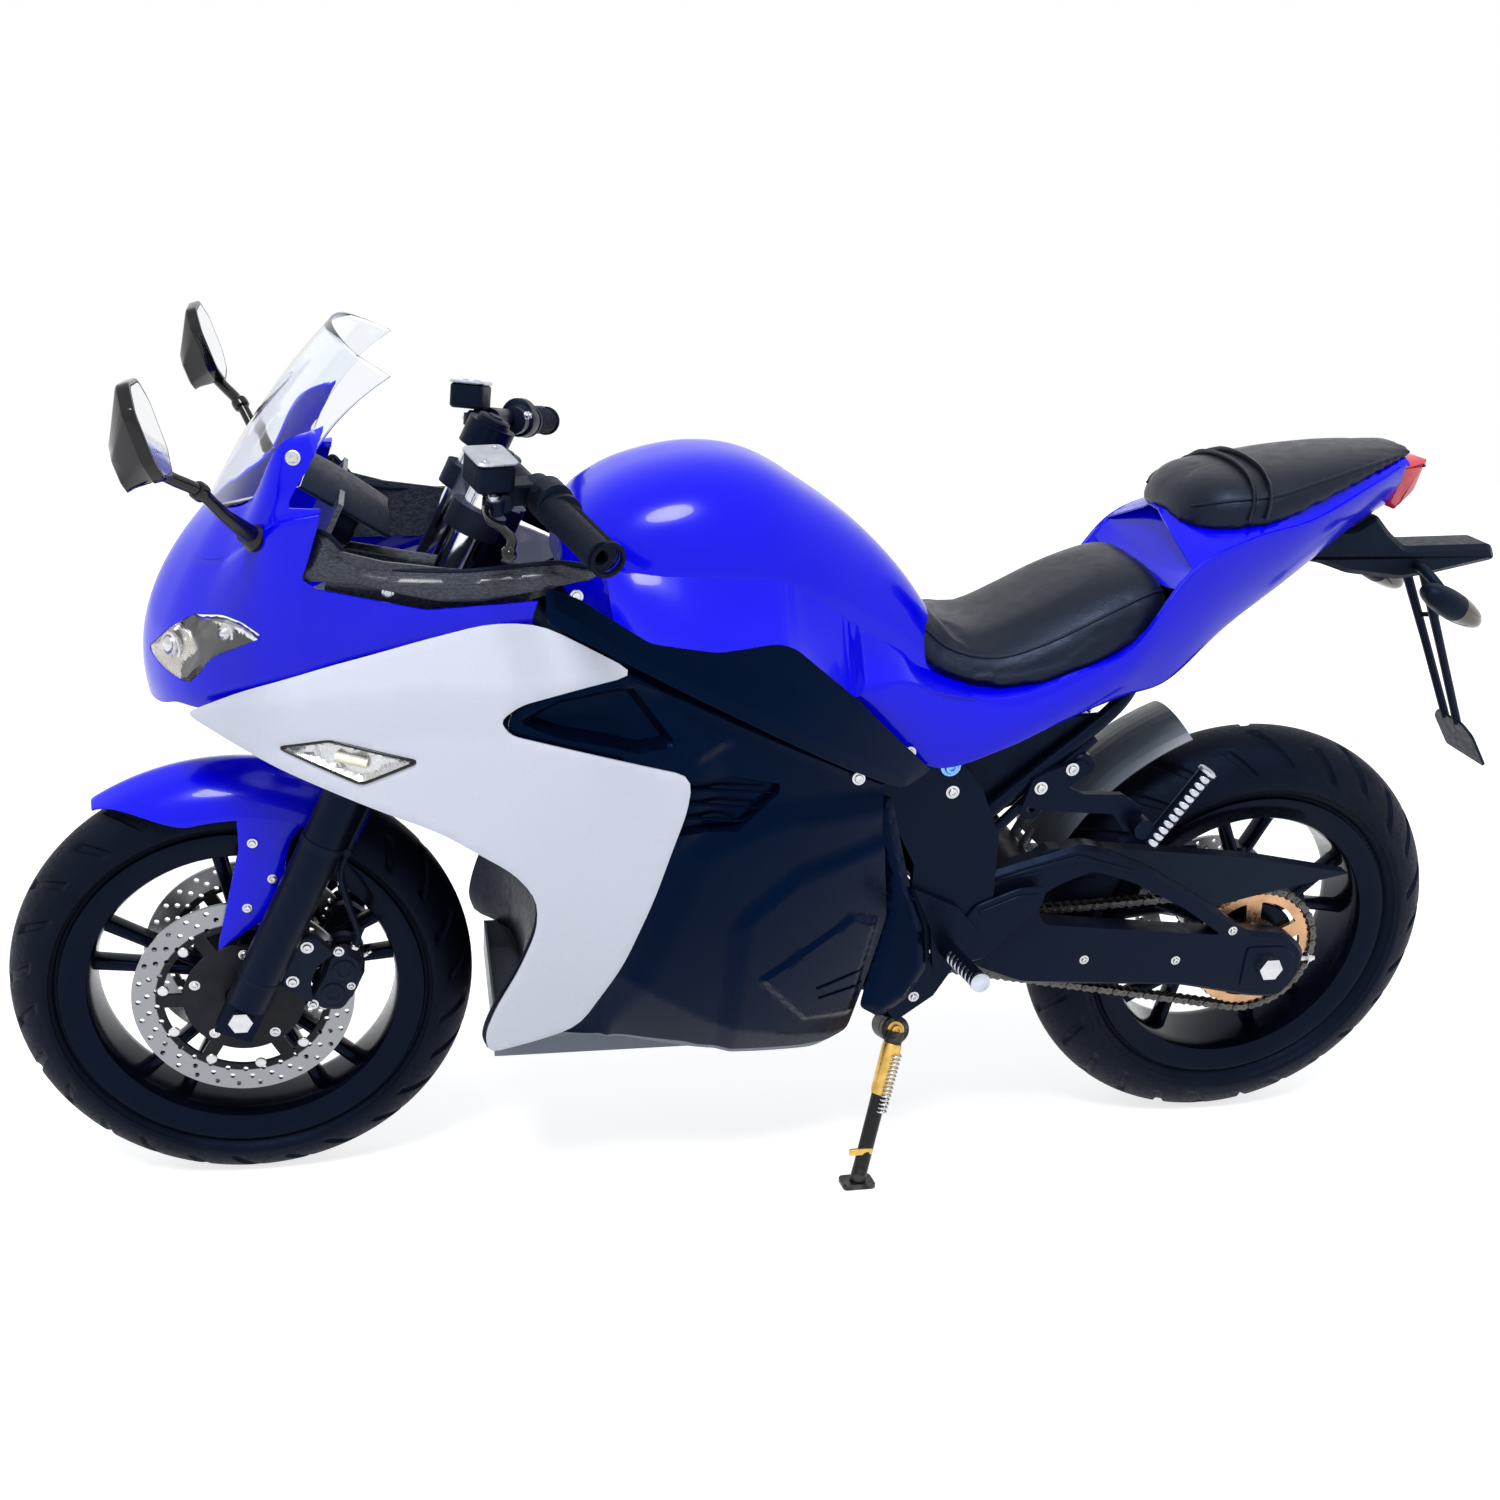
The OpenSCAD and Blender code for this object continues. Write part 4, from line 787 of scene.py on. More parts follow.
def bar(form, a, b, half, thick):
    """A cast spoke arm from a to b in x and z, with a rounded section."""
    a, b = Vector(a), Vector(b)
    d = (b - a).normalized()
    s = Vector((-d.y, d.x))
    rings = []
    for k in range(9):
        t = k / 8
        p = a.lerp(b, t)
        hw = lerp(half[0], half[1], t) * (1 - 0.12 * math.sin(math.pi * t))
        ht = lerp(thick[0], thick[1], t) / 2
        ring = []
        for q in range(16):
            ang = 2 * math.pi * q / 16
            cu, su = (math.copysign(abs(v) ** 0.62, v) for v in (math.cos(ang), math.sin(ang)))
            ring.append((p.x + s.x * hw * cu, ht * su, p.y + s.y * hw * cu))
        rings.append(ring)
    form.rows(rings)


def make_rim(name, cx, cz, rim_w, body, over, hub, split, half_angle, hub_half, extra):
    h = rim_w / 2
    form = Form()
    flange = [(-21, 0), (-4, 3.5), (8, 6.4), (11, 6), (12, 4.4), (12, 0), (0, 0), (0, -18), (-14, -30)]
    prof = [(BEAD + r, -h - y) for r, y in flange] + [(BEAD + r, h + y) for r, y in reversed(flange)]
    prof += [(BEAD - 24, h - 6), (BEAD - 26, h - 18), (BEAD - 26.5, 0), (BEAD - 26, 18 - h),
             (BEAD - 24, 6 - h)]
    form.lathe(prof, (cx, 0, cz), n=120, closed=True)
    for i in range(5):
        t = math.radians(90 + 72 * i)

        def at(rad, off):
            a = t + off
            return (cx + rad * math.cos(a), cz + rad * math.sin(a))
        bar(form, at(hub - 14, 0), at(split + 16, 0), (15, 11), (38, 30))
        for s in (-1, 1):
            off = math.radians(half_angle) * s
            start = at(split - 6, math.radians(1.6 if split < 80 else 1.0) * s * 2)
            bar(form, start, at(BEAD - 20, off), (8.5, 9.5), (30, 27))
    bore = 9.0
    prof = [(bore, -hub_half), (hub - 10, -hub_half), (hub - 7, 3 - hub_half), (hub - 6, 12 - hub_half),
            (hub, -18), (hub + 2, -10)]
    form.lathe(prof + [(r, -y) for r, y in reversed(prof)], (cx, 0, cz), n=64, closed=True)
    for r0, r1, y0, y1 in extra:
        form.lathe([(r0, y0), (r1 - 2, y0), (r1, y0 + 2), (r1, y1 - 2), (r1 - 2, y1), (r0, y1)],
                   (cx, 0, cz), n=64, closed=True)
    return form.make(name, RIM, body, "rim_black", over, smooth=40)


make_rim("front_rim_cast", FX, FZ, 82, "front_wheel", "front_rim", 46, 60, 9, 55.2, [])
make_rim("rear_rim_cast", RX, RZ, 108, "rear_wheel", "rear_rim", 54, 112, 13, 62, [(9, 72, 50, 81.7)])

# Tank
# Rows: x, half width, low z, top z, power
TANK = [[312, 96, 858, 930, 2.6], [285, 134, 835, 962, 2.7], [230, 160, 812, 993, 2.7],
        [150, 172, 800, 1012, 2.7], [75, 166, 792, 1005, 2.7], [0, 148, 765, 967, 2.7],
        [-70, 126, 722, 920, 2.7], [-130, 110, 690, 864, 2.8], [-176, 98, 690, 806, 2.8]]


def make_tank():
    rings = [superellipse(r, 64) for r in stations(TANK, 84)]
    Form().rows(rings).make("tank_shell", BLUE, slot="body_blue", over="tank_cover", smooth=50)


make_tank()

# Nose, screen and lamps
# Nose columns from the middle to the rear: lower edge, middle, shoulder, foot of the ear, top edge
NOSE = [[[800, 0, 702], [792, 0, 815], [722, 0, 930]], [[779, 66, 706], [770, 70, 806], [698, 80, 943]],
        [[738, 125, 732], [724, 130, 815], [660, 132, 966]],
        [[678, 170, 764], [663, 181, 850], [640, 186, 948], [642, 171, 946], [628, 152, 1029]],
        [[622, 194, 788], [614, 205, 870], [597, 203, 965], [601, 178, 961], [588, 152, 1049]],
        [[585, 203, 802], [580, 207, 880], [560, 201, 966], [563, 176, 962], [545, 152, 1062]],
        [[480, 222, 842], [470, 220, 890], [450, 210, 950], [450, 190, 950], [440, 160, 1050]],
        [[358, 224, 866], [350, 220, 890], [340, 212, 930], [340, 200, 930], [330, 170, 1000]]]
# What the nose leaves open behind the ear and above the cockpit trim, in x and z
NOSE_NOTCH = [[580, 1047], [586, 1033], [597, 1009], [610, 989], [617, 975], [617, 968], [585, 968],
              [585, 962], [597, 922], [605, 898], [590, 886], [474, 869], [352, 880], [250, 892],
              [250, 1200], [560, 1200]]
SCREEN_RIBS = [[[722, 0, 930.5], [655, 0, 1046], [575, 0, 1146]],
               [[698, 80, 943.5], [640, 82, 1050], [565, 88, 1142]],
               [[660, 130, 966.5], [610, 136, 1050], [545, 142, 1130]],
               [[606, 158, 988], [570, 166, 1056], [509, 172, 1112]]]
LAMP = [[792, 766], [764, 801], [730, 830], [693, 843], [671, 840], [648, 827], [691, 801], [711, 787],
        [725, 765], [740, 750], [770, 754]]


def curve(a, b, c, n):
    """Points of the parabola through three points."""
    return [a * (2 * (v - 0.5) * (v - 1)) + b * (4 * v * (1 - v)) + c * (2 * v * (v - 0.5))
            for v in (k / n for k in range(n + 1))]


def band(ribs, n, m):
    """A grid through ribs of three points and their mirror images."""
    full = np.array(ribs, float)
    table = np.concatenate([full[:0:-1] * np.array([1, -1, 1]), full])
    return [[tuple(p) for p in curve(*crow(table, k / n * (len(table) - 1)), m)] for k in range(n + 1)]


def tucked(col):
    """A nose column with its lower edge carried down behind the side fairing."""
    x, y, z = col[0]
    k = step01(abs(y), 96, 150)
    side = math.copysign(1, y)
    return [(x, y - side * 7 * k, z - 20 * k - 0.6), (x, y - side * 3.5 * k, z - 8 * k - 0.3)] + col


def nose_columns(n):
    full = []
    for col in NOSE:
        pts = [np.array(p, float) for p in col]
        if len(pts) == 3:
            fine = curve(*pts, 20)
            full.append([fine[0], fine[8], fine[16], fine[16], fine[18], fine[20]])
        else:
            mid = (pts[3] + pts[4]) / 2 + np.array([0, 4.0, 0])
            full.append([pts[0], pts[1], pts[2], pts[3], mid, pts[4]])
    full = np.array(full)
    mirrored = full[:0:-1] * np.array([1, -1, 1])
    table = np.concatenate([mirrored, full])
    out = []
    for k in range(n + 1):
        b, m, sh, ear, mid, top = crow(table, k / n * (len(table) - 1))
        col = curve(b, m, sh, 18) + [sh * 0.6 + ear * 0.4] + curve(ear, mid, top, 9)
        out.append([tuple(q) for q in col])
    return out


NOSE_GRID = [tucked(c) for c in nose_columns(196)]
NOSE_FORM = Form().rows(NOSE_GRID, closed=False)
NOSE_TREE = BVHTree.FromPolygons([Vector(p) for p in NOSE_FORM.v], NOSE_FORM.f)


def nose_y(x, z):
    """Half width of the nose at x and z, or a plain one where it has none."""
    hit = NOSE_TREE.ray_cast(Vector((x, 420, z)), Vector((0, -1, 0)))[0]
    return hit.y if hit else 150.0


def make_nose():
    obj = NOSE_FORM.make("nose_shell", BLUE, slot="body_blue", over="nose_fairing", smooth=40, solid=3.2,
                         bevel=0.8, out=(560, 0, 850), fix=False)
    tool = Form().plate(fillet(LAMP, 8), 24, 260, 0.01)
    tool.plate(NOSE_NOTCH, 100, 300, 0.01)
    cut(obj, tool.twin(), 40)


make_nose()


def make_lamps():
    outline = [tuple(Vector(p).lerp(Vector((718, 792)), 0.012)) for p in fillet(LAMP, 8)]
    lens = sheet(outline, lambda x, z: nose_y(x, z) - 0.6, 6)
    obj = lens.twin().make("headlight_lens", LENS, slot="lamp_lens", over="headlights", smooth=60,
                           solid=2.6, bevel=0.5, fix=False)
    obj.visible_shadow = False
    split = [(745, 815), (727, 802), (723, 783), (739, 751)]

    def bowl(x, z):
        d = to_edge((x, z), outline)
        deep = 15 * step01(d, 0, 14)
        ridge = 6 * math.exp(-(to_line((x, z), split) / 4) ** 2)
        shelf = 5 * step01(z - 0.2 * (700 - x), 812, 820) * step01(728 - x, 0, 6)
        return nose_y(x, z) - 4.2 - deep + ridge + shelf
    back = sheet(outline, bowl, 4.0)
    for i, f in enumerate(back.f):
        c = sum(back.v[k][0] for k in f) / 3
        z = sum(back.v[k][2] for k in f) / 3
        rear = c < lerp(727, 748, step01(abs(z - 790), 0, 30))
        back.slots[i] = (1 if z < 826 - 0.12 * (700 - c) else 2) if rear else 0
    back.twin().make("headlight_reflector", [REFLECTOR, GLOSS, CHROME], slot="lamp_lens", smooth=30,
                     solid=1.5, fix=False)
    eye = Form()
    for x, z, r in ((757, 782, 13), (690, 818, 9)):
        y = nose_y(x, z) - 16
        eye.lathe([(r + 3, -2), (r + 3, 1.5), (r, 2.5), (r * 0.95, 5), (r * 0.7, 8.5), (r * 0.35, 10.6),
                   (0.05, 11.2)], (x, y, z), (0.75, 0.62, -0.08), 32)
    eye.twin().make("headlight_projector", STEEL, slot="lamp_lens", smooth=50)


make_lamps()


def make_screen():
    grid = Form().rows(band(SCREEN_RIBS, 72, 24), closed=False)
    obj = grid.make("windscreen_sheet", SCREEN, slot="screen_clear", over="windscreen", smooth=60,
                    solid=3.0, bevel=0.8, out=(500, 0, 1000), fix=False)
    obj.visible_shadow = False


make_screen()

# Side panels
WHITE_OUT = [[744, 720], [680, 757], [580, 799], [480, 834], [405, 855], [350, 855], [295, 830],
             [240, 803], [305, 786], [373, 766], [395, 747], [383, 729], [327, 715], [172, 676],
             [175, 632], [190, 580], [208, 510], [240, 412], [290, 316], [338, 295], [400, 274],
             [406, 305], [394, 348], [366, 412], [347, 472], [348, 516], [375, 552], [460, 606],
             [528, 630], [588, 652], [650, 674], [715, 706]]
TURN_OUT = [[640, 697], [581, 713], [483, 695], [547, 662]]
MID_OUT = [[345, 896], [306, 883], [227, 836], [146, 823], [74, 830], [52, 823], [-20, 765], [-142, 652],
           [-155, 640], [-108, 626], [-32, 664], [119, 746], [236, 805], [294, 833], [345, 858]]
MID_RIDGE = [(338, 876), (239, 819), (69, 742), (-114, 638)]
LOWER_OUT = [[385, 748], [300, 800], [225, 832], [120, 784], [-30, 706], [-92, 660], [-84, 594],
             [-96, 520], [-112, 440], [-96, 330], [-84, 250], [-37, 228], [127, 256], [290, 296],
             [392, 286], [350, 420], [330, 520], [380, 600]]
CASE_OUT = [[-90, 600], [-80, 560], [-98, 520], [-112, 480], [-118, 440], [-101, 330], [-95, 290],
            [-125, 272], [-160, 298], [-184, 345], [-174, 408], [-145, 476], [-120, 560], [-108, 600]]
WHITE_CREASE = [(738, 724), (600, 762), (470, 790), (390, 786), (300, 800), (246, 803)]


def white_lift(x, z):
    d = to_line((x, z), WHITE_CREASE)
    return wing(x, z) + 0.4 + 6.5 * max(0.0, 1 - d / 60)


def make_white():
    form = sheet(fillet(WHITE_OUT, 26, 3), white_lift, 11, [fillet(TURN_OUT, 7, 3)], [WHITE_CREASE])
    form.twin().make("side_fairing_shell", WHITE, slot="body_white", over="side_fairings", smooth=24,
                     solid=3.6, bevel=1.2, fix=False)


make_white()


def make_turns():
    outline = [tuple(Vector(p).lerp(Vector((563, 692)), 0.02)) for p in fillet(TURN_OUT, 7, 3)]
    lens = sheet(outline, lambda x, z: wing(x, z) + 0.6 + 2.2 * step01(to_edge((x, z), outline), 0, 9), 6)
    obj = lens.twin().make("turn_lens", LENS, slot="turn_lens", over="front_indicators", smooth=60,
                           solid=2.4, bevel=0.4, fix=False)
    obj.visible_shadow = False

    def bowl(x, z):
        d = to_edge((x, z), outline)
        return wing(x, z) - 3 - 7 * step01(d, 0, 8) + 1.5 * math.sin(x / 4.2) * step01(d, 4, 9)
    back = sheet(outline, bowl, 4)
    back.twin().make("turn_reflector", STEEL, slot="turn_lens", smooth=25, solid=1.2, fix=False)
    rim = Form()
    ring = resample(outline, 6)
    path = [(x, wing(x, z) + 0.4, z) for x, z in ring]
    path.append(path[0])
    rim.tube(path, 2.0, 8, caps=False)
    rim.twin().make("turn_rim", GLOSS, slot="gloss_black", smooth=60)
    bulb = Form()
    bulb.tube([(540, wing(540, 688) - 7, 686), (575, wing(575, 694) - 6, 692)], [6, 6], 14)
    bulb.twin().make("turn_bulb", AMBER, slot="turn_lens", smooth=60)


make_turns()


def make_mid():
    def lift(x, z):
        d = to_line((x, z), MID_RIDGE)
        return wing(x, z) + 0.3 + 9 * max(0.0, 1 - d / 42)
    form = sheet(fillet(MID_OUT, 10, 3), lift, 9, lines=[MID_RIDGE])
    form.twin().make("upper_cover", PANEL, slot="panel_black", over="mid_panels", smooth=18, solid=3.6,
                     bevel=1.2, fix=False)


make_mid()


def inset(poly, d):
    pts = [Vector(p) for p in poly]
    m = len(pts)
    turn = sum(pts[i].x * pts[(i + 1) % m].y - pts[(i + 1) % m].x * pts[i].y for i in range(m))
    sign = 1 if turn > 0 else -1
    out = []
    for i in range(m):
        e0 = (pts[i] - pts[i - 1]).normalized()
        e1 = (pts[(i + 1) % m] - pts[i]).normalized()
        nrm = (Vector((-e0.y - e1.y, e0.x + e1.x)) * sign).normalized()
        out.append(tuple(pts[i] + nrm * d / max(0.5, nrm.dot(Vector((-e0.y, e0.x)) * sign))))
    return out


def above(p, line):
    """How far a point lies above a line of points that runs from front to rear."""
    for (x0, z0), (x1, z1) in zip(line, line[1:]):
        if x1 <= p[0] <= x0:
            return p[1] - lerp(z0, z1, (p[0] - x0) / (x1 - x0))
    return p[1] - (line[0][1] if p[0] > line[0][0] else line[-1][1])


# Lines and marks pressed in the lower panels, in x and z
LEDGE = [(262, 806), (238, 796), (168, 765), (81, 722), (0, 681), (-100, 628)]
POCKET = [(374, 741), (328, 768), (246, 784), (190, 712), (235, 705), (327, 722)]
FIN = [(186, 758), (112, 712), (168, 684), (196, 712)]
VENT = [(186, 668), (120, 668), (57, 652), (60, 638), (110, 597), (184, 597)]
SHOULDER = [(182, 582), (134, 606), (61, 634), (-96, 628)]
FOLD = [(110, 470), (80, 500), (25, 545), (-92, 572)]
CASE_MARK = [(68, 381), (-8, 292), (-84, 280), (-92, 372), (-100, 440), (-56, 459)]
BEND = [(240, 395), (176, 352), (115, 307), (-64, 250), (-84, 250)]
# Top of the grey strip along the bottom
LOW_STRIP = [(330, 306), (268, 292), (150, 270), (128, 262), (-20, 238), (-90, 236)]


def plateau(p, poly, h, w):
    return h * step01(to_edge(p, poly), 0, w) if inside(p, poly) else 0.0


def lower_lift(x, z):
    p = (x, z)
    y = wing(x, z) - 9
    over = above(p, LEDGE)
    behind = step01(262 - x, 0, 12)
    y += 6.0 * (1 - step01(over, -4, 6)) * behind
    y += 2.5 * max(0.0, 1 - abs(over + 8) / 9) * behind
    y += plateau(p, POCKET, -16, 10)
    y += plateau(p, FIN, 8, 16)
    y += plateau(p, VENT, -12, 6)
    free = 0.0 if inside(p, WHITE_OUT) else step01(to_edge(p, WHITE_OUT), 4, 50)
    y += free * (17 * step01(-above(p, SHOULDER), 0, 36) - 9)
    y += 10 * free * step01(-above(p, FOLD), 0, 26) * step01(112 - x, 0, 30)
    y += plateau(p, CASE_MARK, 6, 9)
    low = above(p, BEND)
    if low < 0:
        y += 0.22 * low * step01(310 - x, 0, 90)
    return y


def make_lower():
    marks = [inset(m, -0.01) for m in (POCKET, VENT, CASE_MARK)]
    marks += [inset(m, w) for m, w in ((POCKET, 10), (VENT, 6), (CASE_MARK, 9))]
    lines = [m + [m[0]] for m in marks] + [FIN + [FIN[0]], BEND]
    lines += [[(x, z + d) for x, z in LEDGE] for d in (-8, -4, 6)]
    lines.append(LOW_STRIP)
    lines += [SHOULDER, [(x, z - 36) for x, z in SHOULDER], FOLD, [(x, z - 26) for x, z in FOLD]]
    form = sheet(fillet(LOWER_OUT, 12, 3), lower_lift, 6, lines=lines)
    for i, f in enumerate(form.f):
        mid = sum((Vector(form.v[k]) for k in f), Vector()) / 3
        if above((mid.x, mid.z), LOW_STRIP) < 0:
            form.slots[i] = 1
    form.twin().make("lower_cover", [PANEL, HUGGER], slot="panel_black", over="lower_panels", smooth=32,
                     solid=3.2, bevel=0.0, fix=False)
    slats = Form()
    for a, b in (((170, 655), (70, 642)), ((172, 636), (82, 622)), ((174, 617), (98, 606))):
        pts = [(lerp(a[0], b[0], k / 8), lerp(a[1], b[1], k / 8)) for k in range(9)]
        slats.tube([(x, wing(x, z) - 14, z) for x, z in pts], [4.5 - 0.3 * k for k in range(9)], 10,
                   oval=0.5)
    for a, b in (((-20, 348), (-86, 362)), ((-26, 330), (-90, 336))):
        pts = [(lerp(a[0], b[0], k / 5), lerp(a[1], b[1], k / 5)) for k in range(6)]
        slats.tube([(x, lower_lift(x, z) + 0.4, z) for x, z in pts], 2.2, 8, oval=0.6)
    slats.twin().make("lower_cover_slats", PANEL, slot="panel_black", smooth=60)


make_lower()


def make_case():
    def lift(x, z):
        return 151.5 + 6 * step01(to_edge((x, z), CASE_OUT), 2, 12)
    form = sheet(fillet(CASE_OUT, 8, 3), lift, 7)
    form.twin().make("case_cover_shell", PANEL, slot="panel_black", over="case_covers", smooth=25,
                     solid=3.2, bevel=1.0, fix=False)


make_case()

# Tail
# Rows: x, half width and z of the top edge, half width and z of the lower edge
TAIL = [[-40, 162, 756, 162, 742], [-75, 160, 760, 160, 702], [-110, 157, 760, 157, 668],
        [-170, 153, 742, 154, 640], [-250, 156, 736, 158, 668], [-330, 152, 764, 152, 704],
        [-410, 146, 800, 134, 728], [-480, 138, 900, 118, 745], [-560, 128, 940, 98, 812],
        [-650, 112, 962, 76, 872], [-740, 86, 1002, 56, 938], [-800, 60, 1026, 34, 966]]


def make_tail():
    side = Form()
    rings = []
    for r in stations(TAIL, 110):
        x, tw, tz, bw, bz = r
        ring = []
        for k in range(17):
            v = k / 16
            bulge = 24 * v * (1 - v)
            ring.append((x, lerp(bw, tw, v) + bulge, lerp(bz, tz, v)))
        rings.append(ring)
    side.rows(rings, closed=False)
    side.twin().make("tail_sides", BLUE, slot="body_blue", over="tail_cowl", smooth=40, solid=3.2,
                     bevel=0.9, out=(-450, 0, 800), fix=False)
    under = Form()
    rear = [r for r in stations(TAIL, 110) if r[0] < -428]
    under.rows([[(r[0], r[3] * s, r[4] + 0.6) for s in (-1, -0.6, -0.2, 0.2, 0.6, 1)] for r in rear],
               closed=False)
    under.make("tail_under", PLASTIC, slot="plastic_black", smooth=40, solid=3.0, out=(-600, 0, 1400),
               fix=False)
    deck = Form()
    rings = []
    tail = stations(TAIL, 400)
    for k in range(25):
        x = lerp(-462, -504, k / 24)
        t = near_row(tail, x)
        peak = lerp(846, 938, math.sin(math.pi / 2 * k / 24) ** 1.3)
        half = t[1] - 2
        top = max(peak, t[2] - 14)
        rings.append([(x, half * q, lerp(t[2] - 1.5, top, 1 - abs(q) ** 3))
                      for q in (j / 16 - 1 for j in range(33))])
    deck.rows(rings, closed=False)
    deck.make("tail_hump", BLUE, slot="body_blue", smooth=40, solid=2.4, out=(-480, 0, 600), fix=False)


make_tail()

# Seats
# Rows: x, half width, low z, top z, power
SEAT = [[-134, 92, 768, 852, 2.6], [-180, 120, 750, 806, 2.8], [-240, 136, 742, 800, 2.8],
        [-300, 142, 748, 826, 2.8], [-360, 142, 770, 858, 2.8], [-420, 134, 798, 884, 2.8],
        [-452, 124, 815, 888, 2.8], [-472, 106, 832, 870, 2.6]]
PASS = [[-486, 40, 944, 962, 2.4], [-498, 78, 940, 988, 2.6], [-530, 106, 942, 1008, 2.8],
        [-590, 118, 954, 1018, 2.8], [-660, 106, 980, 1032, 2.8], [-740, 82, 1010, 1043, 2.8],
        [-818, 46, 1034, 1049, 2.8]]


SWELL = 0.005


def puff(obj):
    """Swells a pad by cloth pressure; its underside is held, and no point moves further than SWELL metres."""
    mod = obj.modifiers.new("even", "REMESH")
    mod.mode = "VOXEL"
    mod.voxel_size = 0.006
    bake(obj)
    me = obj.data
    start = np.empty(len(me.vertices) * 3)
    me.vertices.foreach_get("co", start)
    start = start.reshape(-1, 3)
    normals = np.empty(len(me.vertices) * 3)
    me.vertices.foreach_get("normal", normals)
    down = normals.reshape(-1, 3) @ BIKE_NP[:3, 2] * 1000
    held = obj.vertex_groups.new(name="held")
    held.add([int(i) for i in np.nonzero(down < -0.35)[0]], 1.0, "ADD")
    cloth = obj.modifiers.new("cloth", "CLOTH")
    c = cloth.settings
    c.quality = 5
    c.mass = 0.4
    c.tension_stiffness = c.compression_stiffness = 18
    c.shear_stiffness = 8
    c.bending_stiffness = 2
    c.use_pressure = True
    c.uniform_pressure_force = 4.0
    c.vertex_group_mass = "held"
    c.effector_weights.gravity = 0
    cloth.point_cache.frame_start = 1
    cloth.point_cache.frame_end = 20
    for f in range(1, 21):
        SCENE.frame_set(f)
    solved = obj.evaluated_get(bpy.context.evaluated_depsgraph_get()).data
    end = np.empty(len(solved.vertices) * 3)
    solved.vertices.foreach_get("co", end)
    move = end.reshape(-1, 3) - start
    size = np.linalg.norm(move, axis=1, keepdims=True)
    move *= np.minimum(1.0, SWELL / np.maximum(size, 1e-9))
    obj.modifiers.remove(cloth)
    obj.vertex_groups.remove(held)
    SCENE.frame_set(1)
    me.vertices.foreach_set("co", (start + move).ravel())
    soft = obj.modifiers.new("soft", "SUBSURF")
    soft.levels = soft.render_levels = 1
    bake(obj)
    obj.data.polygons.foreach_set("use_smooth", [True] * len(obj.data.polygons))


def on_seat(table, x, ang):
    """A point on a seat's section at an angle from its side."""
    _, w, low, top, p = near_row(stations(table, 200), x)
    c, q = math.cos(ang), math.sin(ang)
    return (x, w * math.copysign(abs(c) ** (2 / p), c), low + (top - low) * abs(q) ** (2 / p))


def make_seat(name, table, over, shrink):
    rings = []
    for r in stations(table, 48):
        rings.append(superellipse((r[0], r[1] - shrink, r[2] + 1, r[3] - shrink, r[4]), 36))
    obj = Form().rows(rings).make(name, LEATHER, slot="seat_black", over=over, smooth=70)
    puff(obj)
    return obj


RIDER_PAD = make_seat("rider_pad", SEAT, "rider_seat", 4)
PASSENGER_PAD = make_seat("passenger_pad", PASS, "passenger_seat", 4)


def pad_surface(pad):
    """Places points of the bike's frame on a finished pad, standing proud by a lift."""
    tree = BVHTree.FromPolygons([v.co for v in pad.data.vertices], [f.vertices for f in pad.data.polygons])
    back = BIKE.inverted()

    def place(p, lift):
        at, normal, _, _ = tree.find_nearest(row(p))
        return tuple(back @ (at + normal * lift / 1000))
    return place


def make_seams():
    form = Form()
    for pad, table, first, last, ang in ((RIDER_PAD, SEAT, -152, -462, 0.62),
                                         (PASSENGER_PAD, PASS, -496, -796, 0.5)):
        place = pad_surface(pad)
        for a in (ang, math.pi - ang):
            path = [place(on_seat(table, lerp(first, last, k / 40), a), 0.5) for k in range(41)]
            form.tube(path, 2.1, 8)
    place = pad_surface(PASSENGER_PAD)
    for x in (-556, -578):
        arc = [math.pi * k / 40 for k in range(1, 40)]
        path = [place(on_seat(PASS, x - 14 * math.sin(a), a), 1.4) for a in arc]
        form.tube(path, 6.5, 10, oval=0.4)
    form.make("seat_seams", LEATHER, slot="seat_black", smooth=60)


make_seams()


def make_deck():
    """Blue shelf between the tail sides and the seats."""
    form = Form()
    shelf = []
    tail = stations(TAIL, 400)
    for k in range(61):
        x = lerp(-160, -486, k / 60)
        t = near_row(tail, x)
        q = near_row(stations(SEAT, 200), x)
        low = min(q[2], t[2] + 4)
        foot = q[1] - 26
        shelf.append([(x, t[1] - 1.6, t[2] - 1.5), (x, t[1] - 8, t[2] + 0.5),
                      (x, lerp(t[1], foot, 0.5), lerp(t[2], low, 0.6)), (x, foot, low)])
    form.rows(shelf, closed=False)
    deck = []
    for k in range(61):
        x = lerp(-478, -806, k / 60)
        t = near_row(tail, x)
        q = near_row(stations(PASS, 200), x)
        w = max(20, min(q[1] - 12, t[1] - 12))
        top = max(q[2] + 5, t[2])
        deck.append([(x, t[1] - 1.6, t[2] - 1.5), (x, t[1] - 7, t[2] + 2), (x, w, lerp(t[2], top, 0.85)),
                     (x, w - 14, top), (x, 0, top)])
    form.rows(deck, closed=False)
    form.twin().make("tail_deck", BLUE, slot="body_blue", smooth=35, solid=2.2, out=(-450, 0, 500),
                     fix=False)


make_deck()


def tank_y(x, z):
    """Half width of the tank at a height."""
    _, w, low, top, p = near_row(stations(TANK, 120), x)
    t = max(0.0, min(0.98, (z - low) / (top - low)))
    return w * (1 - t ** p) ** (1 / p)


# Skirt between the tank and the covers: x, low z, rise
SKIRT = [[268, 860, 34], [227, 836, 58], [146, 823, 72], [74, 829, 62], [52, 822, 64], [20, 796, 72],
         [-20, 766, 78], [-40, 757, 72], [-75, 760, 48], [-110, 760, 26], [-150, 748, 9], [-200, 739, 5]]


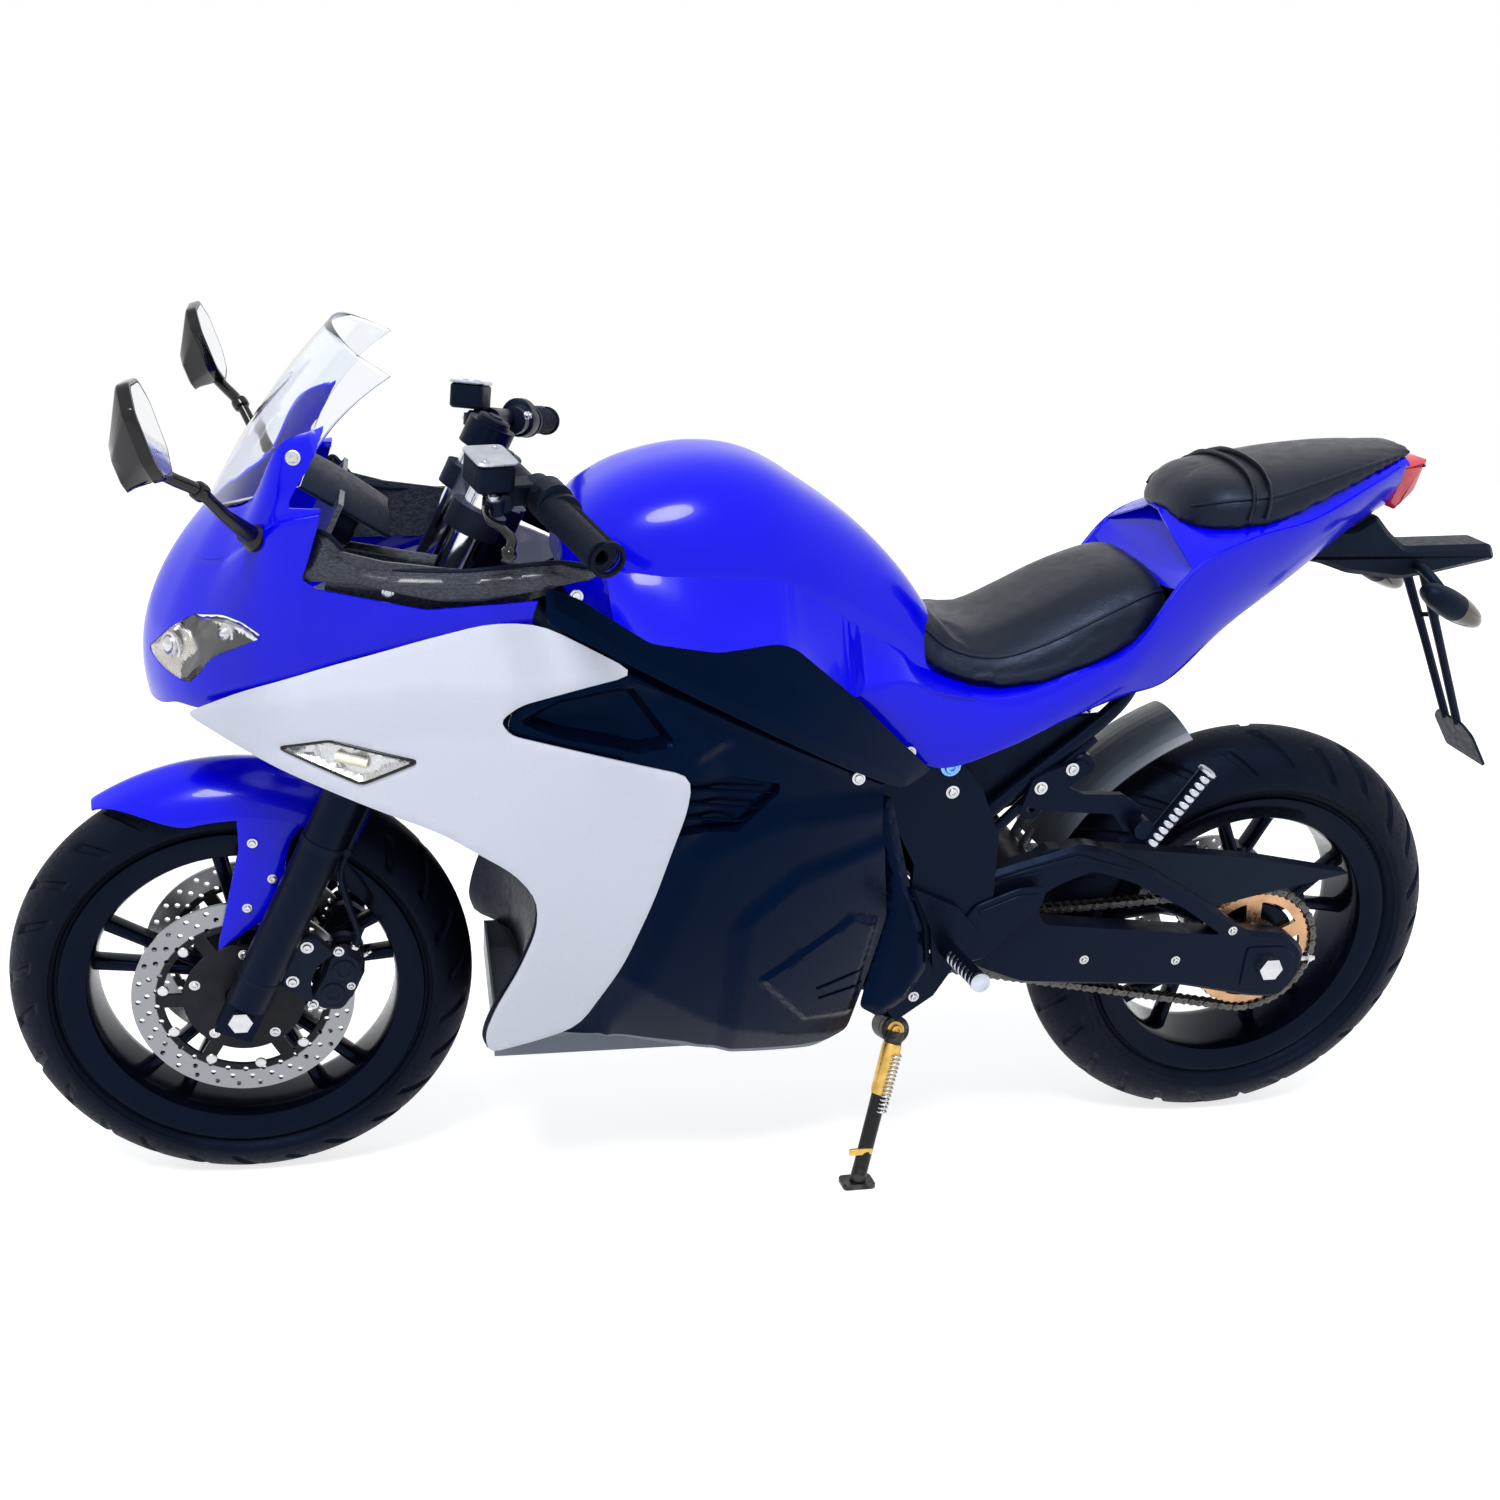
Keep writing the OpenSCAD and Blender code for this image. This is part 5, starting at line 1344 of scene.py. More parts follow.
def make_skirt():
    rings = []
    for x, z, h in stations(SKIRT, 66):
        near = wing(x, z) - 3.8 if x > -30 else lerp(wing(x, z) - 3.8, 157.0, step01(-x, 30, 60))
        far = tank_y(x, z + h) - 1.5 if x > -115 else lerp(tank_y(x, z + h) - 1.5, 96, step01(-x, 115, 140))
        ring = []
        for k in range(13):
            t = k / 12
            cy, cz = lerp(far, near, 0.42), lerp(z, z + h, 0.34)
            ring.append((x, near * (1 - t) ** 2 + cy * 2 * t * (1 - t) + far * t * t,
                         (z - 3) * (1 - t) ** 2 + cz * 2 * t * (1 - t) + (z + h) * t * t))
        rings.append(ring)
    form = Form().rows(rings, closed=False)
    form.twin().make("tank_skirt", BLUE, slot="body_blue", smooth=50, solid=2.4, out=(50, 0, 700),
                     fix=False)


make_skirt()


def make_liner():
    edge = [(470, 612), (420, 584), (378, 554), (352, 518), (350, 474), (369, 414), (397, 350),
            (408, 306), (401, 280)]
    rings = []
    for x, z in smooth_path(edge, 44):
        y = wing(x, z) - 4.2
        deep = lerp(112, 176, step01(x, 404, 470))
        half = [(x - 1, y, z), (x - 10, y - 16, z), (x - 26, lerp(y, deep, 0.5), z + 2),
                (min(x - 40, 352), deep, z + 4)]
        if x < 412:
            half += [(min(x - 46, 344), 60, z + 5), (min(x - 48, 342), 0, z + 5)]
        else:
            half += [(x - 44, deep - 2, z + 4), (x - 46, deep - 4, z + 4)]
        rings.append(half)
    form = Form().rows(rings, closed=False)
    form.twin().make("fairing_liner", PLASTIC, slot="plastic_black", smooth=40, solid=2.4,
                     out=(480, 0, 400), fix=False)


make_liner()


# Mirrors
def make_mirrors():
    head = [[30, -12], [22, 34], [-2, 54], [-50, 50], [-74, 22], [-70, -30], [-44, -48], [8, -40]]
    place = Matrix.Translation((728, 284, 1050)) @ Matrix.Rotation(math.radians(1), 4, "Z") @ \
        Matrix.Rotation(math.radians(108), 4, "Y")
    outline = fillet(head, 7, 3)
    mid = Vector((-22, 2))

    def ring(k, h, drop=0.0):
        return [tuple(place @ Vector((mid.x + (x - mid.x) * k + drop, mid.y + (y - mid.y) * k, h))) for x,
                y in outline]
    form = Form()
    form.rows([ring(0.9, 1.5), ring(0.93, 0.0), ring(0.98, 0.4), ring(1.0, 2.4), ring(1.0, 12),
               ring(0.97, 14), ring(0.62, 34, 18), ring(0.5, 42, 26), ring(0.4, 44, 27)])
    foot, off, _, _ = NOSE_TREE.find_nearest(Vector((662, 178, 936)))
    off = off if off.y > 0 else -off
    path = smooth_path([tuple(foot - 2 * off), (680, 212, 969), (700, 240, 1000), (722, 264, 1018),
                        (740, 282, 1033)], 24)
    form.tube(path, [10.5 - 3.5 * step01(k, 0, 8) for k in range(25)], 16)
    form.lathe([(8.2, -7), (10, -5), (10.6, 0), (10, 5), (8.2, 7)], (700, 240, 1000), (0.5, 0.6, 0.62), 20)
    form.lathe([(15, -3), (15.5, 2), (13, 6), (10, 12), (9, 16)], tuple(foot),
               tuple(off + Vector((0.3, 0.3, 0.5))), 24)
    form.twin().make("mirror_housing", GLOSS, slot="gloss_black", over="mirrors", smooth=28)
    glass_form = Form()
    glass_form.rows([ring(0.9, 1.0), ring(0.9, 0.2), ring(0.5, 0.0)])
    glass_form.twin().make("mirror_glass", MIRROR, slot="gloss_black", smooth=40)


make_mirrors()

# Swingarm
ARM = [(-195, 452), (-240, 470), (-320, 494), (-385, 514), (-412, 512), (-494, 478), (-580, 428),
       (-663, 371), (-735, 362), (-764, 335), (-762, 292), (-738, 258), (-690, 262), (-575, 287),
       (-331, 302), (-260, 330), (-200, 385)]
ARM_GAP = [(-334, 436), (-366, 458), (-412, 476), (-470, 458), (-560, 412), (-624, 368), (-560, 374),
           (-350, 396)]


def make_swingarm():
    for name, side in (("swingarm_left", 1), ("swingarm_right", -1)):
        lo, hi = sorted((103 * side, 135.7 * side))
        arm = Form().plate(fillet(ARM, 16, 4), lo, hi, 6)
        obj = arm.make(name, PAINT, slot="frame_black", over="swingarm", smooth=35)
        lo, hi = sorted((90 * side, 150 * side))
        tool = Form().plate(fillet(ARM_GAP, 12, 4), lo, hi, 0.01)
        lo, hi = sorted((92 * side, 150 * side))
        tool.lathe([(0.05, lo), (9.4, lo), (9.4, hi), (0.05, hi)], (RX, 0, RZ), n=28)
        cut(obj, tool, 35)
    body = Form()
    body.lathe([(11, -135), (24, -135), (26, -133), (26, 133), (24, 135), (11, 135)], (-225, 0, 420),
               n=40, closed=True)
    body.plate(fillet([(-268, 400), (-268, 470), (-310, 484), (-352, 470), (-352, 412), (-310, 392)], 12,
                      3), -104, 104, 5)
    pad = fillet([(-668, 346), (-726, 346), (-746, 330), (-746, 296), (-726, 276), (-668, 282)], 8, 3)
    body.plate(pad, 135.4, 138.5, 1.2)
    body.plate(pad, -138.5, -135.4, 1.2)
    rib = fillet([(-262, 466), (-320, 484), (-388, 502), (-470, 476), (-476, 470), (-392, 492),
                  (-330, 474)], 4, 2)
    body.plate(rib, 134.5, 138, 1)
    body.make("swingarm_body", PAINT, slot="frame_black", smooth=35)
    bolts = Form()
    for x, z in ((-640, 374), (-560, 330), (-420, 338)):
        bolts.bolt((x, 135.6, z), (0, 1, 0), 4.5, 4)
    bolts.bolt((-778, 119, 314), (-1, 0, 0), 6, 8)
    bolts.tube([(-760, 119, 314), (-790, 119, 314)], 4, 12)
    bolts.twin().make("swingarm_bolts", STEEL, slot="bolt_steel", smooth=40)


make_swingarm()


# Chain: links along the loop round both sprockets
def make_chain():
    mx, mz, rr, rm, y0, pitch = -150.0, 352.0, 97.0, 28.5, 86.0, 12.7
    d = Vector((mx - RX, mz - RZ))
    far = d.length
    base = math.atan2(d.y, d.x)
    a = math.acos((rr - rm) / far)
    pts = []
    for k in range(121):
        t = base + a + (2 * math.pi - 2 * a) * k / 120
        pts.append(Vector((RX + rr * math.cos(t), RZ + rr * math.sin(t))))
    for k in range(61):
        t = base - a + 2 * a * k / 60
        pts.append(Vector((mx + rm * math.cos(t), mz + rm * math.sin(t))))
    pts.append(pts[0])
    total = sum((q - p_).length for p_, q in zip(pts, pts[1:]))
    count = int(round(total / pitch / 2)) * 2
    step = total / count
    line = []
    i, gone = 0, 0.0
    for k in range(count):
        want = k * step
        while gone + (pts[i + 1] - pts[i]).length < want:
            gone += (pts[i + 1] - pts[i]).length
            i += 1
        line.append(pts[i].lerp(pts[i + 1], (want - gone) / (pts[i + 1] - pts[i]).length))
    form = Form()
    for k in range(count):
        p0, p1 = line[k], line[(k + 1) % count]
        u = (p1 - p0).normalized()
        w = Vector((-u.y, u.x))
        size = (p1 - p0).length
        form.lathe([(4.2, -5), (4.2, 5)], (p0.x, y0, p0.y), n=10)
        ys = (5.0, 6.4) if k % 2 else (6.6, 8.0)
        for s in (-1, 1):
            loop = []
            for first, c, waist in ((100, 0.0, -3.6), (-80, size, 3.6)):
                for q in range(5):
                    t = math.radians(first + 40 * q)
                    loop.append(p0 + u * (c + 5.4 * math.cos(t)) + w * (5.4 * math.sin(t)))
                loop.append(p0 + u * size * 0.5 + w * waist)
            form.rows([[(v.x, y0 + s * ys[0], v.y) for v in loop],
                       [(v.x, y0 + s * ys[1], v.y) for v in loop]])
        if k % 2 == 0:
            for q in (p0, p1):
                form.lathe([(1.9, 7.6), (1.9, 8.7), (1.2, 9.0)], (q.x, y0, q.y), n=8)
    form.make("chain_links", CHAIN, slot="chain_steel", over="chain", smooth=30)


make_chain()


# Front fender
LEG = [[702, 556], [701, 511], [714, 456], [734, 368], [693, 399], [645, 432], [650, 468], [640, 518],
       [622, 542], [640, 548], [672, 554]]


def make_front_fender():
    hub, crown = FRONT_R - 55, 55 + 18
    rings = []
    for k in range(61):
        t = k / 60
        ang = math.radians(lerp(56, 123, t))
        tip = step01(t, 0.0, 0.34)
        half = lerp(18, 76, tip ** 0.7) if t < 0.34 else lerp(76, 70, (t - 0.34) / 0.66)
        ring = []
        for j in range(29):
            b = math.radians(lerp(-half, half, j / 28))
            r = hub + crown * math.cos(b) + 2.2 * math.exp(-(b / 0.16) ** 2)
            y = crown * math.sin(b)
            ring.append((FX + r * math.cos(ang), y, FZ + r * math.sin(ang)))
        rings.append(ring)
    form = Form().rows(rings, closed=False)
    form.make("front_fender_crown", BLUE, "steering", "body_blue", over="front_fender", smooth=50,
              solid=3.0, bevel=0.8, out=(FX, 0, FZ), fix=False)

    def lift(x, z):
        return lerp(72.2, 70.2, step01(z, 430, 530)) - 1.4 * step01(10 - to_edge((x, z), LEG), 0, 10)
    leg = sheet(fillet(LEG, 10, 3), lift, 8)
    leg.twin().make("front_fender_legs", BLUE, "steering", "body_blue", smooth=40, solid=3.4, bevel=0.8,
                    fix=False)
    bolts = Form()
    for x, z in ((684, 520), (662, 470), (694, 430)):
        bolts.bolt((x, 72.4, z), (0, 1, 0), 4.2, 3.4)
    bolts.twin().make("front_fender_bolts", STEEL, "steering", "bolt_steel", smooth=40)


make_front_fender()


# Tail end
def make_tail_end():
    light = [[-800.3, 1024], [-845, 1030], [-836, 985], [-812, 958], [-800.3, 966]]
    form = Form()
    form.plate(fillet(light, 7, 4), -46, 46, 9)
    form.make("tail_lens", RED, slot="tail_red", over="tail_light", smooth=50)
    ribs = Form()
    for z in (985, 1000, 1013):
        ribs.tube([(-838 - (z - 985) * 0.18, y, z) for y in range(-32, 33, 8)], 2.0, 8)
    ribs.make("tail_lens_ribs", RED, slot="tail_red", smooth=60)
    tongue = [[-690, 884], [-740, 929.7], [-766, 929.7], [-796, 950], [-822, 925], [-850, 905],
              [-985, 911], [-997, 889], [-900, 866], [-850, 858], [-770, 866], [-724, 880]]
    under = Form()
    under.plate(fillet(tongue, 8, 3), -30, 30, 7)
    for s in (-1, 1):
        under.tube([(-888, 24 * s, 872), (-950, 19 * s, 756), (-1012, 14.2 * s, 638)], [7, 6, 6], 14)
        under.tube([(-930, 20.6 * s, 793), (-945, 0, 800)], 3.5, 10)
    tilt = math.radians(35.6)

    def at_plate(x, y, z):
        v = Matrix.Rotation(tilt, 3, "Y") @ Vector((y, x, z))
        return (-1030 + v.x, v.y, 612 + v.z)
    plate = fillet([(-46, -38), (46, -38), (46, 20), (30, 38), (-30, 38), (-46, 20)], 6, 3)
    under.plate(plate, -2, 2, 0.8, at=at_plate)
    under.make("tail_bracket", PLASTIC, slot="plastic_black", over="rear_fender", smooth=35)
    signal = Form()
    lens = Form()
    place = Matrix.Translation((-893, 92, 840)) @ Matrix.Rotation(math.radians(-27), 4, "Y")
    for f, lo, hi in ((signal, 0, 13), (lens, 13, 24)):
        rings = []
        for k in range(lo, hi + 1):
            t = math.pi * k / 24
            x = 53 * math.cos(t)
            w, h = 26 * math.sin(t) ** 0.75 + 0.05, 21.5 * math.sin(t) ** 0.75 + 0.05
            ring = []
            for m in range(24):
                q = 2 * math.pi * m / 24
                z = h * math.sin(q) * (1.0 if math.sin(q) > 0 else 0.8)
                ring.append(tuple(place @ Vector((x, w * math.cos(q), z))))
            rings.append(ring)
        f.rows(rings)
    signal.tube(smooth_path([(-872, 30.4, 880), (-873, 44, 878), (-880, 62, 868), (-890, 80, 852)], 16),
                7, 14)
    signal.twin().make("rear_signal_body", PLASTIC, slot="plastic_black", over="rear_indicators", smooth=40)
    lens.twin().make("rear_signal_lens", SMOKE, slot="turn_lens_rear", smooth=40)


make_tail_end()


# Side stand
def make_stand():
    top, foot = Vector((-155, 141, 242)), Vector((-102, 205, 205 * math.tan(LEAN) + 8))
    form = Form()
    form.tube([top.lerp(foot, t) for t in (0.0, 0.1, 0.3, 0.6, 0.9, 1.0)], [13, 12, 11, 10.6, 10.6, 11], 20)
    at = Matrix.Translation((-102, 205, 205 * math.tan(LEAN))) @ Matrix.Rotation(LEAN, 4, "X")
    outline = fillet([(-23, -17), (23, -17), (23, 17), (-23, 17)], 7, 3)
    form.plate(outline, 0.05, 8, 1.5, at=lambda x, y, z: tuple(at @ Vector((x, z, y))))
    knuckle = Matrix.Translation((-155, 128, 238)) @ Matrix.Rotation(math.radians(21.8), 4, "X")
    axis = (knuckle.to_3x3() @ Vector((0, 1, 0)))
    form.lathe([(6, 0.2), (18, 0.2), (20, 2), (20, 12), (18, 14), (6, 14)], (-155, 128, 238), axis, 36,
               closed=True)
    form.make("stand_leg", STAND, "side_stand", "stand_black", over="side_stand", smooth=35)
    gold = Form()
    gold.tube([top.lerp(foot, t) for t in (0.08, 0.1, 0.4, 0.42)], [12.4, 13.6, 13.0, 11.9], 20)
    gold.bolt(tuple(Vector((-155, 128, 238)) + axis * 14), axis, 8, 7)
    gold.plate(fillet([(-7, -5), (26, -5), (26, 5), (-7, 5)], 3, 2), -2, 2, 0.6,
               at=lambda x, y, z: tuple(top.lerp(foot, 0.78) + Vector((x, y + 9, z))))
    gold.make("stand_sleeve", GOLD, "side_stand", "bolt_steel", smooth=40)
    coil = []
    a, b = top.lerp(foot, 0.12) + Vector((-4, 15, 0)), top.lerp(foot, 0.52) + Vector((-4, 13, 0))
    d = (b - a).normalized()
    u = d.orthogonal().normalized()
    w = d.cross(u)
    for k in range(241):
        t = k / 240
        ang = 2 * math.pi * 15 * t
        coil.append(a.lerp(b, t) + (u * math.cos(ang) + w * math.sin(ang)) * 6.0)
    spring = Form().tube(coil, 1.5, 6)
    spring.make("stand_spring", STEEL, "side_stand", "bolt_steel", smooth=60)


make_stand()


# Bolts that show
def make_bolts():
    form = Form()
    for x, z, lift, r in ((310, 885, 1, 5), (-45, 649, -2, 5.5)):
        form.bolt((x, wing(x, z) + lift, z), (0.05, 1, 0.15), r, 3.5)
    form.bolt((-120, 166, 668), (0, 1, 0.1), 5, 3.5)
    for x, y, z, r in ((-190, 148.2, 604, 6), (-203, 148.2, 421, 5.5), (-194, 148.2, 371, 5.5),
                       (-172, 148.2, 300, 5), (-312, 146.2, 606, 6), (-352, 146.2, 632, 6)):
        form.bolt((x, y, z), (0, 1, 0), r, 4)
    form.bolt((515, 194.4, 880), (0, 1, 0.1), 4.5, 3)
    form.twin().make("cover_bolts", STEEL, slot="bolt_steel", smooth=40)
    big = Form()
    big.bolt((-183, 148.2, 640), (0, 1, 0), 9, 6)
    big.twin().make("pivot_bolt", BLUE_BOLT, slot="bolt_steel", smooth=40)
    screw = Form()
    hit = NOSE_TREE.ray_cast(Vector((612, 420, 1020)), Vector((0, -1, 0)))
    if hit[0]:
        screw.bolt(tuple(hit[0]), tuple(hit[1] if hit[1].y > 0 else -hit[1]), 5.5, 3.5)
        screw.twin()
        screw.make("nose_screws", STEEL, slot="bolt_steel", smooth=40)


make_bolts()


# Cockpit
TRIM = [[604, 894], [602, 916], [588, 945], [575, 939], [560, 921], [541, 910], [502, 905], [426, 906],
        [327, 917], [276, 908], [348, 890], [415, 876], [459, 876], [502, 883], [544, 892]]


def make_trim():
    top = [(602, 916), (588, 945), (575, 939), (560, 921), (541, 910), (502, 905), (426, 906), (327, 917),
           (276, 908)]

    def lift(x, z):
        base = lerp(200, 213, step01(600 - x, 0, 160))
        roll = 1 - step01(to_line((x, z), top), 0, 13)
        return base - 15 * roll * roll
    form = sheet(fillet(TRIM, 5, 3), lift, 6)
    form.twin().make("trim_rail", CARBON, slot="trim_carbon", smooth=50, solid=3.0, bevel=0.8, fix=False)
    lip = Form()
    path = [(x, lift(x, z) - 2, z) for x, z in smooth_path(top, 50)]
    lip.tube(path, 3.2, 10)
    lip.twin().make("trim_lip", PLASTIC, slot="plastic_black", smooth=60)


make_trim()


def make_dash():
    place = Matrix.Translation((556, 0, 905)) @ Matrix.Rotation(math.radians(-28), 4, "Y")

    def at(x, y, z):
        return tuple(place @ Vector((x, y, z)))
    hood = Form()
    rings = []
    for k in range(25):
        t = k / 24
        x = lerp(-24, 81, t)
        half = lerp(66, 80, math.sin(math.pi * min(1.0, t * 0.62 + 0.1)))
        ring = []
        for j in range(33):
            q = lerp(-1, 1, j / 32)
            ring.append(at(x - 12 * q * q * (1 - t), half * q,
                           51.5 - 20 * abs(q) ** 2.6 - 7 * (1 - t) ** 2))
        rings.append(ring)
    hood.rows(rings, closed=False)
    hood.make("dash_hood", PLASTIC, slot="plastic_black", over="dash", smooth=50, solid=6, bevel=1.6,
              out=at(30, 0, -40), fix=False)
    box = Form()
    face = fillet([(-58, -18), (58, -18), (62, 0), (56, 28), (-56, 28), (-62, 0)], 10, 4)
    box.plate(face, 1, 29, 4, at=lambda u, v, w: at(v, u, w))
    box.make("dash_case", PLASTIC, slot="gloss_black", smooth=40)
    glass_form = Form()
    glass_form.plate(inset(face, 7), -0.6, 1.6, 0.6, at=lambda u, v, w: at(v, u, w))
    glass_form.make("dash_glass", GLOSS, slot="gloss_black", smooth=40)


make_dash()


# Bars and controls
BAR_IN = Vector((fork_pt(0, 106, 790)))
BAR_OUT = Vector((BAR_IN.x - 89, 362, BAR_IN.z - 48))
BAR_DIR = (BAR_OUT - BAR_IN).normalized()
BAR_FWD = BAR_DIR.cross(Vector((0, 0, 1))).normalized()
BAR_UP = BAR_FWD.cross(BAR_DIR).normalized()


def on_bar(along, fwd=0.0, up=0.0):
    """A point by the left bar: distance in from its end, ahead of it and above it."""
    return tuple(BAR_OUT - BAR_DIR * along + BAR_FWD * fwd + BAR_UP * up)


def make_controls():
    black = Form()
    black.tube([on_bar(v) for v in (121, 122, 126, 152, 156, 158)], [19, 21, 22, 22, 21, 18], 28)
    black.tube([on_bar(v, 3, 4) for v in (125, 127, 152, 154)], [19, 22, 22, 19], 24, oval=1.15)
    black.tube([on_bar(v) for v in (166, 167, 186, 187)], [15, 18, 18, 15], 28)
    black.tube([on_bar(v, 50, -2) for v in (150, 153, 196, 199)], [8, 11, 11, 8], 20)
    box = fillet([(-25, -22), (25, -22), (25, 22), (-25, 22)], 8, 4)
    black.plate(box, 10, 42, 3, at=lambda x, y, z: on_bar(178 + x, 60 + z, y))
    black.plate(fillet([(-14, -14), (14, -14), (14, 14), (-14, 14)], 5, 3), -10, 14, 2,
                at=lambda x, y, z: on_bar(177 + x, 30 + 1.6 * z, y))
    black.tube([on_bar(156, 62, 4), on_bar(156, 62, -12)], [12, 12], 18)
    black.tube([on_bar(140, 14, 14), on_bar(140, 22, 20)], [5, 4], 14)
    black.lathe([(20, 0), (22.5, 1), (23, 4), (22.5, 7), (18, 8)], on_bar(120), BAR_DIR, 32)
    black.twin().make("bar_controls", PLASTIC, "steering", "plastic_black", over="controls", smooth=40)
    lid = Form()
    lid.plate(fillet([(-26.5, -23.5), (26.5, -23.5), (26.5, 23.5), (-26.5, 23.5)], 9, 4), 41.6, 46, 1.4,
              at=lambda x, y, z: on_bar(178 + x, 60 + z, y))
    for u in (-19, 19):
        lid.bolt(on_bar(178 + u, 60 - 0.7 * u, 45.9), tuple(BAR_UP), 3.2, 1.6)
    lid.bolt(on_bar(156, 62, 4), tuple(BAR_UP), 6, 4)
    for u in (170, 183):
        lid.bolt(on_bar(u, -17, 8), tuple(-BAR_FWD), 3.6, 4)
    lid.twin().make("reservoir_lids", ALLOY, "steering", "bolt_steel", smooth=40)
    lever = Form()
    path = smooth_path([on_bar(164, 60, -4), on_bar(150, 70, -4), on_bar(122, 80, -3), on_bar(96, 76, -2),
                        on_bar(76, 74, -6), on_bar(62, 82, -12)], 36)
    lever.tube(path, [8 - 2.6 * step01(k, 0, 14) for k in range(37)], 14, oval=0.7)
    lever.lathe([(0.05, -9), (4, -8.3), (7, -5), (8, 0), (7, 5), (4, 8.3), (0.05, 9)],
                on_bar(60, 83, -13), BAR_DIR, 20)
    lever.twin().make("control_levers", GLOSS, "steering", "gloss_black", smooth=50)
    ribs = Form()
    for k in range(22):
        ribs.lathe([(16.6, -1.2), (17.9, -0.7), (17.9, 0.7), (16.6, 1.2)], on_bar(12 + 4.6 * k), BAR_DIR,
                   28, closed=True)
    for v in (3.5, 113):
        ribs.lathe([(16, -3.4), (20, -2.4), (20, 2.4), (16, 3.4)], on_bar(v), BAR_DIR, 32, closed=True)
    ribs.twin().make("grip_ribs", GRIP, "steering", "grip_rubber", smooth=40)


make_controls()


# Front brakes and fork
def make_front_brakes():
    body = Form()
    shell = fillet([(-116, 40), (-122, 80), (-112, 121), (-86, 128), (-67, 114), (-71, 80), (-68, 46),
                    (-90, 32)], 9, 3)
    body.plate(shell, 66.2, 88.5, 6, at=fork_pt)
    body.plate(shell, 31.5, 54, 5, at=fork_pt)
    body.plate(fillet([(-121, 60), (-121, 104), (-108, 110), (-108, 52)], 4, 3), 36, 84, 3, at=fork_pt)
    bracket = fillet([(-76, 44), (-30, 52), (-24, 74), (-26, 130), (-44, 136), (-74, 122), (-60, 96),
                      (-62, 70)], 7, 3)
    body.plate(bracket, 88.2, 99, 2, at=fork_pt)
    for z in (62, 98):
        body.lathe([(14.5, 0), (14.5, 2.6), (12, 4), (8, 4), (7.4, 3), (0.05, 3)], fork_pt(-95, 88, z),
                   (0, 1, 0), 28)
    body.twin().make("front_caliper_body", CASTING, "steering", "caliper_black", over="front_calipers",
                     smooth=35)
    bright = Form()
    for x, z, y, r in ((-78, 38, 88.3, 4.6), (-78, 121, 88.3, 4.6), (-40, 66, 99, 5.4),
                       (-38, 118, 99, 5.4), (-112, 80, 88.3, 3.6)):
        bright.bolt(fork_pt(x, y, z), (0, 1, 0), r, 4)
    bright.lathe([(3, 0), (3, 6), (1.8, 7), (1.8, 12), (0.6, 12.4)], fork_pt(-112, 76, 121),
                 fork_dir(-0.5, 0.2, 0.85), 14)
    bright.lathe([(5.5, -3), (6.5, -2), (6.5, 2), (5.5, 3)], fork_pt(-96, 76, 129), fork_dir(0, 0, 1), 16)
    bright.twin().make("front_caliper_bolts", STEEL, "steering", "bolt_steel", smooth=40)
    line = Form()
    route = [fork_pt(-96, 76, 128), fork_pt(-92, 80, 150), fork_pt(-66, 92, 186), fork_pt(-38, 99, 226),
             fork_pt(-31.5, 100, 262), fork_pt(-31, 100, 320), fork_pt(-31, 100, 386)]
    line.tube(smooth_path(route, 60), [4.2 + (0.5 if k % 2 else 0) for k in range(61)], 10)
    line.twin().make("brake_line", PLASTIC, "steering", "plastic_black", smooth=30)
    fork = Form()
    up = fork_dir(0, 0, 1)
    for z, r in ((392, 29), (386, 28.4), (60, 27.8)):
        fork.lathe([(26, -4), (r, -3), (r, 3), (26, 4)], fork_pt(0, 100, z), up, 40, closed=True)
    fork.lathe([(0.05, 6), (9, 6), (10, 4), (18, 3.4), (20.6, 1.5), (20.8, -9), (20.3, -9)],
               fork_pt(0, 100, 791.5), up, 36)
    for z in (262, 340):
        fork.lathe([(26.5, -5), (28, -5), (28, 5), (26.5, 5)], fork_pt(0, 100, z), up, 40, closed=True)
        fork.plate(fillet([(-36, -5), (-26, -5), (-26, 5), (-36, 5)], 2, 2), 94.5, 105.5, 1,
                   at=lambda x, y, w, z=z: fork_pt(x, y, z + w))
    fork.twin().make("fork_collars", PLASTIC, "steering", "plastic_black", smooth=35)
    rivets = Form()
    for side in (1, -1):
        for k in range(10):
            a = math.radians(36 * k + 9)
            at = (FX + 100 * math.cos(a), side * 60, FZ + 100 * math.sin(a))
            rivets.lathe([(0.05, 3.4), (4.6, 3.2), (6.6, 2.2), (7.4, 0.8), (7.4, 0)], at, (0, side, 0), 18)
        for k in range(5):
            a = math.radians(72 * k + 20)
            rivets.bolt((FX + 64 * math.cos(a), side * 60.4, FZ + 64 * math.sin(a)), (0, side, 0), 4.6, 3)
    rivets.make("disc_rivets", STEEL, "front_wheel", "disc_steel", smooth=40)


make_front_brakes()


# Foot pegs
def make_pegs():
    form = Form()
    for a, b, r, flat in (((-470, 164, 530), (-531, 170, 635), 12.5, 0.8),
                          ((-207, 184, 382), (-215, 262, 388), 12.8, 0.9)):
        a, b = Vector(a), Vector(b)
        d = (b - a).normalized()
        n = int((b - a).length / 3.5)
        path = [a.lerp(b, k / n) for k in range(n + 1)]
        form.tube(path, [r - (2.2 if k % 3 == 0 else 0.0) for k in range(n + 1)], 20, oval=flat)
        form.lathe([(r - 2, -2), (r + 0.4, -1), (r + 0.4, 3), (r - 3, 5), (0.05, 5.4)], tuple(b),
                   tuple(d), 24)
    form.twin().make("peg_treads", ALLOY, slot="peg_alloy", smooth=30)


make_pegs()


